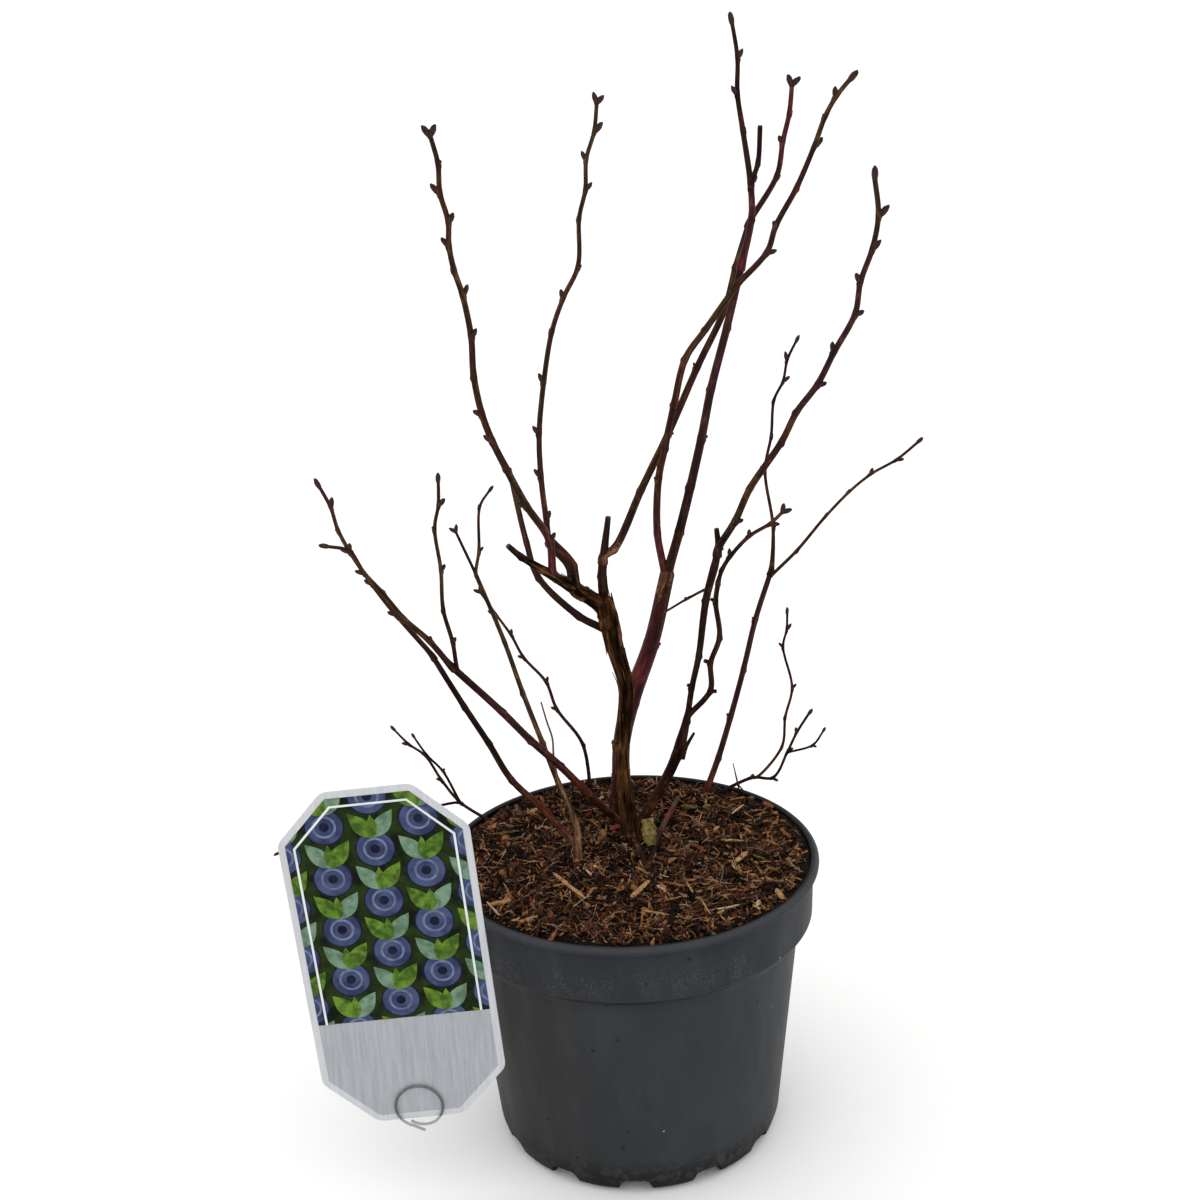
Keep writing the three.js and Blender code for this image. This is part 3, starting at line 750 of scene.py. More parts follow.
def budTemplate():  # one bud of length 1 and width 1 that points to +Z
    heights, widths = zip(*budLook["outline"])
    sides, wide = budLook["coreSides"], budLook["coreWidth"]
    core = [[wide * w * cos(a), wide * w * sin(a), h]
            for h, w in budLook["outline"] for a in anglesRound(sides)]
    coreFaces = tubeFaces(len(heights), sides)
    scales = [budScale(k, heights, widths) for k in range(budLook["scales"])]
    return joined([(np.array(core), coreFaces, [0] * len(coreFaces)), *scales])


def axesTo(tip, roll):  # a turn that takes +Z to tip
    side = sideways(tip, roll)
    return np.column_stack([side, np.cross(tip, side), tip])


for bough in boughs.values():  # a small dormant bud on some of a cane's nodes, none on the old wood
    if bough["tones"].startswith("old"):
        continue
    for index, node in enumerate(bough["nodes"][1:-1]):
        least, spare = budLook["dormantSize"]
        size = least + spare * budRandom.random()
        if budRandom.random() < budLook["dormantShare"]:
            girth = girthAt(bough, (index + 2) / len(bough["nodes"]))
            root = node["place"] + node["side"] * girth * budLook["dormantRoot"]
            tip = unit(node["along"] + node["side"] * budLook["dormantLean"])
            budList.append((root, tip, budLook["dormantLength"] * size, budLook["dormantWidth"] * size))
templatePoints, templateFaces, templateSlots = budTemplate()
budParts = []
for root, tip, length, width in budList:
    size = np.array([width * budLook["slimness"]] * 2 + [length * budLook["shortness"]])
    placed = (templatePoints * size) @ axesTo(tip, 360 * budRandom.random()).T + root
    budParts.append((placed, templateFaces, templateSlots))
budPoints, budFaces, budSlots = joined(budParts)
budMaterials = [budMaterial(name, *colours) for name, colours in budLook["colours"].items()]
settle(makePiece("buds", budPoints, budFaces, budMaterials, budSlots), "twig_bark")
print("buds:", len(budList), "with", budLook["scales"], "scales each")

# What only a close look shows: dry twigs, old stubs, pegs at old joints, peeling bark and a dead leaf.
scraps = {
    "dryTwigs": [  # points from the foot up, girth from foot to tip, bark
        ([(-26.1, 12.7, 148.5), (-27.1, 11, 159.6), (-29.6, 12.5, 172.5), (-34.2, 15, 183.3),
          (-36.7, 18.5, 195.7), (-37.1, 22, 206.3), (-39.5, 25, 214), (-42.1, 28, 223.8)],
         [2.2, 1.3, 1.1, 0.8], "straw 0.55 tan"),
        ([(-2.6, 21, 262), (-2.9, 21, 271), (-4.2, 22, 283)], [3, 2.4, 0.6], "black"),
        ([(-0.4, 17.8, 256), (-0.5, 17.6, 262), (-0.9, 17.3, 269)], [1.2, 1.9, 0.7], "tan"),
        ([(28.4, 20, 193), (30.5, 20, 199.5), (34.7, 20, 207)], [2.6, 2, 1.4], "black"),
        ([(60.6, 69, 149), (59.3, 70, 156), (57.3, 70, 166.5)], [1.1, 0.9, 0.5], "brown"),
        ([(62.4, 71, 150), (60.4, 70.4, 153), (59.2, 70, 156.5)], [0.8, 0.7, 0.6], "brown"),
        ([(-4.2, 22, 202.5), (-6.9, 21.6, 203.6)], [1.9, 1.3], "old"),
        ([(28.6, 69.3, 149.5), (21.7, 42.1, 151.6), (13.6, 11.8, 151.4), (8.9, -9.9, 149)],
         [2.4, 2.9, 3.4, 3.2], "olive 0.2 rust 0.45 olive 0.6 black"),
        ([(-1.1, 28.6, 152), (3.8, 3.6, 152.4), (7.5, -12.7, 149.2)], [5.6, 4.8, 2.8], "old 0.62 black"),
    ],
    "pegs": {  # limb: (node, length, girth)
        "knotted_cane": [(0, 2.6, 1.9), (1, 3, 2), (3, 2.2, 1.7)],
        "right_cane": [(3, 2.2, 1.8)],
        "twigs_knotted": [(3, 2.4, 1.5)],
    },
    "pegTaper": 1.15,
    "pegLean": 0.5,
    "pegRoot": 0.5,
    "peelings": {"trunk": 46, "left_bough": 20, "trunk_spur": 5},
    "peelingLength": (4, 13),
    "peelingWidth": (0.5, 1.2),
    "peelingLift": (0.15, 1.2),
    "peelingSteps": 8,
    "leafSpine": [(11.2, 6.2, 148.6), (10.9, 6, 152), (10.4, 6.6, 156), (10, 8, 160.5), (9.4, 10, 165)],
    "leafWidths": [1.2, 4.6, 7, 7.4, 5.2],
    "leafCup": 0.9,
    "leafWave": 0.3,
    "leafRagged": 0.35,
    "leafThickness": 0.25,
    "leafSteps": 15,
    "seed": 83,
}
scrapRandom = np.random.default_rng(scraps["seed"])


def peeling(limb):  # a dry strip that hugs the limb at one end and stands off at the other
    length = scrapRandom.uniform(*scraps["peelingLength"])
    width = scrapRandom.uniform(*scraps["peelingWidth"])
    lift = scrapRandom.uniform(*scraps["peelingLift"])
    middle, angle = scrapRandom.uniform(0.06, 0.94), scrapRandom.uniform(0, 360)
    upwards = 1 if scrapRandom.random() < 0.6 else -1
    points = []
    for t in np.linspace(0, 1, scraps["peelingSteps"]):
        share = np.clip(middle + upwards * (t - 0.5) * length / limb["curve"]["lengths"][-1], 0, 1)
        centre, run = pointsOn(limb["curve"], share)[0], runOn(limb["curve"], share)
        out = sideways(run, angle)
        base = centre + out * (girthAt(limb, share) / 2 + 0.05 + lift * t ** 2.2)
        side = np.cross(run, out) * width / 2 * (1 - 0.75 * t ** 3)
        points += [base - side, base - out * 0.2, base + side, base + out * 0.22]
    faces = tubeFaces(scraps["peelingSteps"], 4)
    relief = np.full(len(points), 0.5 + 0.4 * scrapRandom.random())
    return np.array(points), faces, [toneNames.index("old")] * len(faces), relief


def makeScraps():
    sticks = list(scraps["dryTwigs"])
    limbs = {**boughs, **{name: twigs[0] for name, twigs in masses.items()}}
    for limbName, pegs in scraps["pegs"].items():
        for index, length, girth in pegs:
            node = limbs[limbName]["nodes"][index]
            way = unit(node["along"] * scraps["pegLean"] + node["side"])
            start = node["place"] + way * scraps["pegRoot"]
            lastTone = limbs[limbName]["tones"].split()[-1]
            sticks.append(([start, start + way * length], [girth * scraps["pegTaper"], girth], lastTone))
    parts = []
    for index, (points, girth, tones) in enumerate(sticks):
        stick = {"foot": True, "tip": "cut", "nodes": [], "girth": girth, "tones": tones,
                 "curve": curveThrough(np.array(points, dtype=float))}
        parts.append(limbSkin(stick, skin["twig"], skin["scrapSeed"] + index))
    for limbName, count in scraps["peelings"].items():
        parts += [peeling(boughs[limbName]) for _ in range(count)]
    settle(skinnedPiece("dry_scraps", parts), "old_bark")
    return len(parts)


def dryLeafMaterial():
    # A dead blueberry leaf, shrivelled by frost: papery and dull, olive, and tan where it dried first.
    material = newMaterial("dryLeaf")
    where = placeOnPiece(material)
    colour = mottled(where, grain(2.5, 4, 0.6), [(0.3, "#3d3518"), (0.5, "#6a5e31"), (0.7, "#94804f")])
    links = {"Base Color": colour, "Normal": pitted(where, grain(0.8), 0.3)}
    return coat(material, {"Roughness": 0.8, "Specular IOR Level": 0.15}, links)


def makeDryLeaf():  # a cupped blade with a wavy edge, closed all round
    spine = curveThrough(np.array(scraps["leafSpine"], dtype=float))
    widths, steps = scraps["leafWidths"], scraps["leafSteps"]
    rows = []
    for t in np.linspace(0, 1, steps):
        centre, run = pointsOn(spine, t)[0], runOn(spine, t)
        side = unit(np.cross(run, (0, -1, 0)))
        out = np.cross(side, run)
        half = np.interp(t, np.linspace(0, 1, len(widths)), widths) / 2
        half += scraps["leafRagged"] * scrapRandom.normal() * t
        front = []
        for u in (-1, -0.5, 0, 0.5, 1):
            rise = scraps["leafCup"] * u * u + scraps["leafWave"] * sin(7 * t + 2 * u)
            front.append(centre + side * half * u + out * rise)
        rows += front + [point - out * scraps["leafThickness"] for point in front[::-1]]
    settle(makePiece("dry_leaf", rows, tubeFaces(steps, 2 * len(front)), [dryLeafMaterial()]), "twig_bark")


print("scraps:", makeScraps())
makeDryLeaf()

# Pot: a moulded shell with a collar, a lip and notches round its foot.
pot = {
    "height": 151, "width": 190, "wall": 1.3, "floorTop": 11, "footRadius": 68,
    "bodyFoot": 9, "bodyFootRadius": 73.4, "bodyTopRadius": 84.2, "shoulder": 8,
    "collar": 30, "collarFootRadius": 91.3, "collarTopRadius": 92, "lip": 4.5,
    "notches": 12, "notchFootWidth": 19.6, "notchTopWidth": 12.6, "notchHeight": 8.5, "notchReach": 34,
    "firstNotch": -93, "notchRounding": 2.4, "sides": 288, "rounding": 1.1,
}


def roundedProfile(profile, radius):  # each corner as a short curve
    profile = [np.array(point, dtype=float) for point in profile]
    rounded = [profile[0]]
    for before, corner, after in zip(profile, profile[1:], profile[2:]):
        cut = min(radius, 0.45 * np.linalg.norm(before - corner), 0.45 * np.linalg.norm(after - corner))
        enter = corner + unit(before - corner) * cut
        leave = corner + unit(after - corner) * cut
        for t in (0, 0.33, 0.67, 1):
            rounded.append(enter * (1 - t) ** 2 + corner * 2 * t * (1 - t) + leave * t * t)
    return np.array([*rounded, profile[-1]])


def turned(profile, sides):  # a closed profile that starts and ends on the axis, turned round Z
    inner = profile[1:-1]
    points = [[r * cos(a), r * sin(a), z] for r, z in inner for a in anglesRound(sides)]
    points += [[0, 0, profile[0][1]], [0, 0, profile[-1][1]]]
    faces = gridFaces(len(inner), sides)
    last = (len(inner) - 1) * sides
    for j in range(sides):
        k = (j + 1) % sides
        faces.append((len(points) - 2, k, j))
        faces.append((len(points) - 1, last + j, last + k))
    return np.array(points), faces


def potMaterial():
    # Recycled polypropylene, injection moulded: matt dark slate, faintly grained, with dust and soil on it;
    # painted shade on the collar, in the step under it, on the left and right sides and inside the lip, and a
    # painted highlight along the top of the lip.
    material = newMaterial("mouldedPolypropylene")
    where = placeOnPiece(material)
    drawn = placeOnPiece(material, (1, 1, 0.22))
    flat = placeOnPiece(material, (1, 1, 0))
    axes = addNode(where, "SeparateXYZ", links={"Vector": where}).outputs
    across, behind, height = axes["X"], axes["Y"], axes["Z"]
    radius = addNode(flat, "VectorMath", {"operation": "LENGTH"}, {0: flat}).outputs["Value"]
    ragged = addNode(where, "TexNoise", grain(4, 5, 0.7), {"Vector": where})
    raggedHeight = addNode(where, "Math", {"operation": "MULTIPLY_ADD", 1: 20 * mm}, {0: ragged, 2: height})
    top, rim = pot["height"], pot["collarTopRadius"]
    step, lipFoot = top - pot["collar"], top - pot["lip"]
    collar = shareOf((height, step - 0.5, 0, step + 1.5, 0.75))
    # the band under the collar's step where the painted shadow falls
    stepShadow = shareOf((height, step - 13, 0, step - 2, 1), (height, step - 0.3, 1, step + 0.2, 0))
    lowCollar = shareOf((height, step, 0, step + 3, 1), (height, step + 9, 1, step + 21, 0))
    lip = shareOf((height, lipFoot - 1.5, 0, lipFoot, 1))
    dust = shareOf(mottled(where, grain(1.1, 4, 0.7), [(0.46, 0), (0.7, 0.32)]),
                   mottled(drawn, grain(18, 4, 0.6), [(0.4, 0), (0.6, 1)]))
    soil = mottled(where, grain(4, 4, 0.6), [(0.44, 0), (0.51, 1)])
    base = mottled(where, grain(55, 4, 0.6), [(0.3, "#25282a"), (0.5, "#292b2e"), (0.72, "#2e3033")])
    for colour, share in [
        ("#201c18", shareOf((across, -10, 0, -70, 0.85))),  # painted shade: darker and a little warmer towards the left side, which the left lamp lights more
        # painted shade: the collar darker and cooler than the body below it
        ("#202227", collar),
        # painted shade on the collar's right side, which the right lamp lights more
        ("#131517", shareOf(collar, (across, 30, 0, 90, 0.95))),
        ("#0b0c0d", shareOf(stepShadow, stepShadow)),  # painted shadow in the step under the collar
        ("#3b3e41", mottled(drawn, grain(16, 5, 0.7), [(0.48, 0), (0.72, 0.26)])),  # water marks
        ("#6a6c6d", shareOf(dust, lowCollar)),
        ("#44474b", shareOf((height, top - 3.2, 0, top - 1.2, 0.4))),  # painted highlight along the top of the lip
        ("#060504", shareOf((radius, rim + 0.1, 1, rim + 1.4, 0), lip)),  # painted shade on the inside of the lip, darkening the backdrop's reflection there
        # painted shade over the back half of the lip, darkening the backdrop's reflection there
        ("#060504", shareOf((behind, 20, 0, 60, 0.9), lip)),
        ("#8d8f8c", spotted(where, 17, 0.55)),
        ("#0c0b0b", spotted(where, 16, 1.05)),
        ("#080605", shareOf(soil, (height, 6, 1, 21, 0))),  # splashed round the foot
        ("#0b0908", shareOf((raggedHeight, 13.5, 0.92, 18.5, 0))),
    ]:
        colours = {"data_type": "RGBA", 7: linear(colour)}  # sockets 6 and 7 of a mix take its colours
        base = addNode(where, "Mix", colours, {0: share, 6: base}).outputs[2]
    shine = mottled(drawn, grain(22, 4, 0.6), [(0.3, 0.46), (0.7, 0.62)])
    pores = pitted(where, grain(0.9, 3, 0.6), 0.035)  # the mould's grain is finer, drawn this coarse to show
    links = {"Base Color": base, "Roughness": shine, "Normal": pores}
    return coat(material, {"IOR": 1.49, "Specular IOR Level": 0.15}, links)


def facedOutwards(piece):
    solid = bmesh.new()
    solid.from_mesh(piece.data)
    bmesh.ops.recalc_face_normals(solid, faces=solid.faces)
    solid.to_mesh(piece.data)
    solid.free()
    return piece


def makePot():
    half, top, wall, floor = pot["width"] / 2, pot["height"], pot["wall"], pot["floorTop"]
    collarFoot, lipFoot = top - pot["collar"], top - pot["lip"]
    shoulderFoot = collarFoot - pot["shoulder"]
    base, foot, body = pot["footRadius"], pot["bodyFootRadius"], pot["bodyTopRadius"]
    step, collar = pot["collarFootRadius"], pot["collarTopRadius"]
    outer = [[0, 0], [base, 0], [base + 3.5, 3], [foot, pot["bodyFoot"]], [body, shoulderFoot],
             [body + 1.2, collarFoot - 0.6 * pot["shoulder"]], [step, collarFoot], [collar, lipFoot],
             [half - 0.4, lipFoot + 0.4], [half, top - pot["lip"] / 2], [half - 0.8, top - 0.6],
             [half - 2.2, top]]
    inner = [[half - 4.2, top - 0.3], [collar - wall, top - 2], [step - wall, collarFoot + 0.6],
             [body - wall, shoulderFoot + 0.6], [foot - wall + 0.3, floor + 3], [foot - wall - 2, floor],
             [0, floor]]
    points, faces = turned(roundedProfile(outer + inner, pot["rounding"]), pot["sides"])
    plastic = potMaterial()
    piece = makePiece("pot_shell", points, faces, [plastic])
    wide, narrow, high = pot["notchFootWidth"] / 2, pot["notchTopWidth"] / 2, pot["notchHeight"]
    outline = roundedProfile([(-wide, -1), (-narrow, high), (narrow, high), (wide, -1)], pot["notchRounding"])
    sides = len(outline)
    facedOutwards(piece)
    for first in (0, 1):  # every other notch at a time, as neighbours meet under the pot
        parts = []
        for i in range(first, pot["notches"], 2):
            heading = radians(pot["firstNotch"] + 360 / pot["notches"] * i)
            out = np.array([cos(heading), sin(heading), 0])
            across = np.array([-sin(heading), cos(heading), 0])
            corners = [out * reach + across * x + [0, 0, z]
                       for reach in (pot["notchReach"], half) for x, z in outline]
            prism = [tuple(range(sides)), tuple(range(sides, 2 * sides))[::-1]]
            parts.append((np.array(corners), prism + gridFaces(2, sides), [0] * (sides + 2)))
        cutter = facedOutwards(makePiece("notch_cutter", *joined(parts)[:2], [plastic], smooth=False))
        cut = piece.modifiers.new("notches", "BOOLEAN")
        cut.operation = "DIFFERENCE"
        cut.solver = "EXACT"
        cut.object = cutter
        bpy.context.view_layer.objects.active = piece
        bpy.ops.object.modifier_apply(modifier="notches")
        bpy.data.objects.remove(cutter)
    piece.data.set_sharp_from_angle(angle=radians(38))
    settle(piece, "pot_plastic", "pot")


makePot()
print("pot: moulded shell with", pot["notches"], "notches")

# Bark mulch: a dark bed under thousands of crumbs, shreds and curly fibres, heaped a little at the wall.
mulch = {
    "seed": 71,
    "radius": 90,
    "bedRings": 90,
    "bedSides": 260,
    "bedRadii": (0.5, 90.6),
    "bedCells": (90, 1.7),
    "bedGrain": 1.8,
    "bedDepth": 12,
    "bedDrop": 1.9,
    "heapFrom": 55,
    "heap": 3.3,
    "gloomBlotches": (1.6, 9, -4),
    "gloomBlur": 0.5,
    "gloomUnder": -0.35,
    "gloomShare": 0.6,
    "layers": {  # a span is the least, the most and a power that favours the small ones
        "mulch_crumbs": {
            "count": 2600, "long": (1.1, 4.2, 2), "wide": (0.9, 3, 2), "flat": (0.5, 0.9, 1),
            "lift": 1.1, "roll": 3, "tilt": 40, "rough": 0.09, "bow": 0, "wave": 0,
            "tones": {"mulchBlack": 0.5, "mulchBrown": 0.32, "mulchRed": 0.13, "mulchOrange": 0.05},
        },
        "mulch_shreds": {
            "count": 6450, "long": (2.4, 10.5, 1.8), "wide": (0.45, 1.7, 1.9), "flat": (0.35, 0.9, 1),
            "lift": 2.9, "roll": 0.7, "tilt": 22, "rough": 0.13, "bow": 0.1, "wave": 0.05,
            "tones": {"mulchBlack": 0.12, "mulchBrown": 0.38, "mulchRed": 0.2, "mulchOrange": 0.13,
                      "mulchGrey": 0.13, "woodTan": 0.03},
        },
        "bark_flakes": {
            "count": 620, "long": (2.6, 8.5, 1.7), "wide": (1.8, 4.4, 1.6), "flat": (0.16, 0.34, 1),
            "lift": 2.7, "roll": 0.45, "tilt": 24, "rough": 0.12, "bow": 0.05, "wave": 0.03,
            "tones": {"mulchBlack": 0.15, "mulchBrown": 0.4, "mulchRed": 0.21, "mulchOrange": 0.24},
        },
        "mulch_fibres": {
            "count": 820, "long": (5, 17, 1.4), "wide": (0.3, 0.65, 1.3), "flat": (0.6, 1, 1),
            "lift": 3.5, "roll": 1, "tilt": 17, "rough": 0.12, "bow": 0.13, "wave": 0.1,
            "tones": {"mulchBrown": 0.28, "mulchRed": 0.22, "mulchOrange": 0.16, "mulchGrey": 0.2,
                      "fibrePale": 0.14},
        },
        "wood_slivers": {
            "count": 260, "long": (3, 12, 1.7), "wide": (0.7, 2.3, 1.4), "flat": (0.25, 0.6, 1),
            "lift": 3.2, "roll": 0.6, "tilt": 16, "rough": 0.12, "bow": 0.03, "wave": 0.01,
            "tones": {"mulchOrange": 0.6, "woodTan": 0.34, "fibrePale": 0.06},
        },
    },
    "chipShape": {
        "slim": 0.84, "thickness": (0.45, 0.22), "lift": 3.1, "roll": 0.25, "tilt": 0.03,
        "rough": 0.035, "bow": 0.02, "wave": 0.004,
    },
    "chips": [  # laid one by one: from (x, y) to (x, y), width, what it is
        ((-39.8, -15.1), (-22.7, -43.9), 2.7, "woodTan"), ((-1, -48.5), (8.6, -30.3), 3, "woodTan"),
        ((46.6, 10.2), (58.7, 9.2), 5, "woodTan"), ((52.6, -12), (58.9, -1.8), 4, "woodTan"),
        ((69.3, -44.2), (72, -54), 3.6, "woodTan"), ((61.5, -6.3), (67.1, -11.1), 1.6, "mossyBit"),
        ((-68, -49.5), (-58.3, -46), 6, "woodTan"), ((-70, -46), (-62.7, -61), 1.5, "fibrePale"),
        ((39.8, -61), (51.7, -56.4), 1.5, "fibrePale"), ((4.1, -56.1), (17.7, -61.5), 1.7, "woodTan"),
        ((4.9, -60.5), (3.1, -76), 1.4, "mulchOrange"), ((54.3, 39.5), (61.8, 51.2), 1.6, "fibrePale"),
        ((33, -49.6), (36.8, -65.8), 1.2, "woodTan"), ((27, -30.3), (29.7, -40.6), 1.6, "woodTan"),
        ((-9.5, 27.5), (-5.5, 33), 5.5, "barkRust"), ((72, 50), (76, 44), 5, "barkRust"),
        ((-77, 26.4), (-58.5, 30), 1.7, "mossyBit"), ((-53.5, 48.9), (-46.8, 56), 5, "woodTan"),
        ((-22.8, -15.8), (-19.5, -23.9), 1.8, "fibrePale"), ((12, -33.5), (18.3, -41.9), 1.5, "fibrePale"),
        ((28, 55), (37, 52), 6, "mossyBit"),
    ],
}
mulchTones = {
    "mulchBlack": ("#0a0604", "#1a110b"),
    "mulchBrown": ("#27170f", "#4a2e1e"),
    "mulchRed": ("#3e2014", "#6b3b24"),
    "mulchOrange": ("#684225", "#9e6f48"),
    "mulchGrey": ("#513e31", "#92765f"),
    "woodTan": ("#6f4c2d", "#b18e60"),
    "fibrePale": ("#816753", "#c2a588"),
    "barkRust": ("#5c2a1b", "#8e4a2e"),
    "mossyBit": ("#37371a", "#5f5a2e"),
}


def mulchMaterial(name, low, high):
    # Composted pine bark, shredded and damp: dull crumbs and splinters, each of one colour, faintly grained.
    material = newMaterial(name)
    where = placeOnPiece(material)
    colour = mottled(where, grain(2.2, 4, 0.7), [(0.32, low), (0.68, high)])
    links = {"Base Color": colour, "Normal": pitted(where, grain(0.6, 4, 0.7), 0.15)}
    return coat(material, {"Roughness": 0.84, "IOR": 1.45, "Specular IOR Level": 0.12}, links)


mulchMaterials = [mulchMaterial(name, *colours) for name, colours in mulchTones.items()]
mulchRandom = np.random.default_rng(mulch["seed"])


def lumpsAt(x, y):
    slow = 0.9 * np.sin(x * 0.11 + 1.3) * np.cos(y * 0.13 - 0.4)
    return slow + 0.6 * np.sin(x * 0.31 + y * 0.23) * np.cos(y * 0.27)


def bedHeight(x, y):  # the dome of the soil with slow lumps, heaped towards the wall
    radius = np.hypot(x, y)
    share = np.clip((radius - mulch["heapFrom"]) / (mulch["radius"] - mulch["heapFrom"]), 0, 1)
    heap = mulch["heap"] * smoothStep(share)
    lumps = lumpsAt(x, y) * (1 - 0.6 * heap / mulch["heap"])
    return soilHeight(radius) + lumps + heap - mulch["bedDrop"]


def makeBed():
    rings, sides = mulch["bedRings"], mulch["bedSides"]
    radii = np.linspace(*mulch["bedRadii"], rings)[:, None]
    x, y = radii * np.cos(anglesRound(sides)), radii * np.sin(anglesRound(sides))
    rough = roundNoise(mulchRandom, rings, sides, *mulch["bedCells"]) - 0.5
    z = bedHeight(x, y) + rough * mulch["bedGrain"]
    top = np.stack([x, y, z], axis=-1)
    points = np.vstack([*top, top[-1] - [0, 0, mulch["bedDepth"]]])
    faces = [face[::-1] for face in tubeFaces(rings + 1, sides)]
    # the bed takes the blackest mulch tone: partly the dark soil under the bits, partly painted shade in the
    # gaps between them
    settle(makePiece("mulch_bed", points, faces, [mulchMaterials[0]]), "bark_mulch", "bark_mulch")


def turns(rolls, tilts, headings):  # roll about X, tilt about Y, then heading about Z
    cr, sr, ct, st = np.cos(rolls), np.sin(rolls), np.cos(tilts), np.sin(tilts)
    ch, sh = np.cos(headings), np.sin(headings)
    rows = [[ct * ch, sr * st * ch - cr * sh, cr * st * ch + sr * sh],
            [ct * sh, sr * st * sh + cr * ch, cr * st * sh - sr * ch],
            [-st, sr * ct, cr * ct]]
    return np.moveaxis(np.array(rows), 2, 0)


def splinter(rings, sides, blunt=0.3):  # a bit of length 1 and width 1 along X, drawn out at its ends
    along = np.linspace(-0.45, 0.45, rings)
    angles = (np.arange(sides) + 0.5) * 2 * pi / sides
    widths = 0.5 - blunt * (2 * along) ** 4 * 0.9
    points = [[x, w * cos(a), w * sin(a)] for x, w in zip(along, widths) for a in angles]
    first, last, top = len(points), len(points) + 1, (rings - 1) * sides
    points += [[-0.5, 0.05, 0], [0.5, -0.05, 0]]
    faces = gridFaces(rings, sides)
    faces += [(first, (j + 1) % sides, j) for j in range(sides)]
    faces += [(last, top + j, top + (j + 1) % sides) for j in range(sides)]
    return np.array(points), faces


def crumb():  # the twenty faces of an icosahedron
    g = (1 + 5 ** 0.5) / 2
    points = np.array([[-1, g, 0], [1, g, 0], [-1, -g, 0], [1, -g, 0], [0, -1, g], [0, 1, g],
                       [0, -1, -g], [0, 1, -g], [g, 0, -1], [g, 0, 1], [-g, 0, -1], [-g, 0, 1]]) / (2 * g)
    faces = [(0, 11, 5), (0, 5, 1), (0, 1, 7), (0, 7, 10), (0, 10, 11), (1, 5, 9), (5, 11, 4), (11, 10, 2),
             (10, 7, 6), (7, 1, 8), (3, 9, 4), (3, 4, 2), (3, 2, 6), (3, 6, 8), (3, 8, 9), (4, 9, 5),
             (2, 4, 11), (6, 2, 10), (8, 6, 7), (9, 8, 1)]
    return points, faces


def spread(count, least, most, power):
    return least + (most - least) * mulchRandom.random(count) ** power


def placedBits(name, template, faces, sizes, turn, places, tones, layer):
    count = len(sizes)
    long, along = sizes[:, None, 0], template[None, :, 0]
    bits = template[None] * sizes[:, None, :]
    bits += mulchRandom.normal(size=bits.shape) * layer["rough"] * sizes[:, None, 1:2]
    bits[..., 2] += mulchRandom.normal(size=(count, 1)) * layer["bow"] * long * 4 * along ** 2
    swing = np.sin(2 * pi * (0.9 * along + mulchRandom.random((count, 1))))
    bits[..., 1] += mulchRandom.normal(size=(count, 1)) * layer["wave"] * long * swing
    bits = np.einsum("nij,nkj->nki", turn, bits) + places[:, None, :]
    starts = (np.arange(count) * len(template)).tolist()
    allFaces = [tuple(corner + start for corner in face) for start in starts for face in faces]
    slots = np.repeat(tones, len(faces))
    piece = makePiece(name, bits.reshape(-1, 3), allFaces, mulchMaterials, slots, smooth=False)
    settle(piece, "bark_mulch")


def strew(name, template, faces):
    layer = mulch["layers"][name]
    count = layer["count"]
    long, wide = spread(count, *layer["long"]), spread(count, *layer["wide"])
    sizes = np.stack([long, wide, wide * spread(count, *layer["flat"])], axis=-1)
    away = np.sqrt(mulchRandom.random(count)) * (mulch["radius"] - long / 2)
    heading = mulchRandom.random(count) * 2 * pi
    x, y = away * np.cos(heading), away * np.sin(heading)
    places = np.stack([x, y, bedHeight(x, y) + layer["lift"] * mulchRandom.random(count)], axis=-1)
    roll = mulchRandom.normal(size=count) * layer["roll"]
    tilt = mulchRandom.normal(size=count) * radians(layer["tilt"])
    turn = turns(roll, tilt, mulchRandom.random(count) * 2 * pi)
    names = list(mulchTones)
    choices = [names.index(tone) for tone in layer["tones"]]
    weights = np.array(list(layer["tones"].values()))
    tones = mulchRandom.choice(choices, count, p=weights / weights.sum())
    scale, shiftX, shiftY = mulch["gloomBlotches"]  # in blotches of a noise of their own, not the bed's hollows, most bits are turned black
    blur = mulch["gloomBlur"] * mulchRandom.normal(size=count)
    gloomy = lumpsAt(scale * x + shiftX, scale * y + shiftY) + blur < mulch["gloomUnder"]
    tones[gloomy & (mulchRandom.random(count) < mulch["gloomShare"])] = names.index("mulchBlack")
    placedBits(name, template, faces, sizes, turn, places, tones, layer)


def layChips():
    shape = mulch["chipShape"]
    ends = np.array([[start, end] for start, end, _, _ in mulch["chips"]])
    way, middle = ends[:, 1] - ends[:, 0], ends.mean(axis=1)
    long = np.linalg.norm(way, axis=1)
    wide = np.array([chip[2] for chip in mulch["chips"]])
    least, growing = shape["thickness"]
    sizes = np.stack([long, wide * shape["slim"], least + growing * wide], axis=-1)
    places = np.stack([*middle.T, bedHeight(*middle.T) + shape["lift"]], axis=-1)
    roll = mulchRandom.normal(size=len(long)) * shape["roll"]
    tilt = mulchRandom.normal(size=len(long)) * shape["tilt"]
    turn = turns(roll, tilt, np.arctan2(way[:, 1], way[:, 0]))
    tones = [list(mulchTones).index(chip[3]) for chip in mulch["chips"]]
    placedBits("laid_chips", *splinter(9, 6, 0.34), sizes, turn, places, tones, shape)


makeBed()
strew("mulch_crumbs", *crumb())
strew("mulch_shreds", *splinter(5, 3))
strew("mulch_fibres", *splinter(10, 3, 0.1))
strew("wood_slivers", *splinter(5, 4))
strew("bark_flakes", *splinter(4, 5, 0.2))
layChips()
bitCount = sum(layer["count"] for layer in mulch["layers"].values())
print("mulch: bed,", bitCount, "bits and", len(mulch["chips"]), "laid chips")

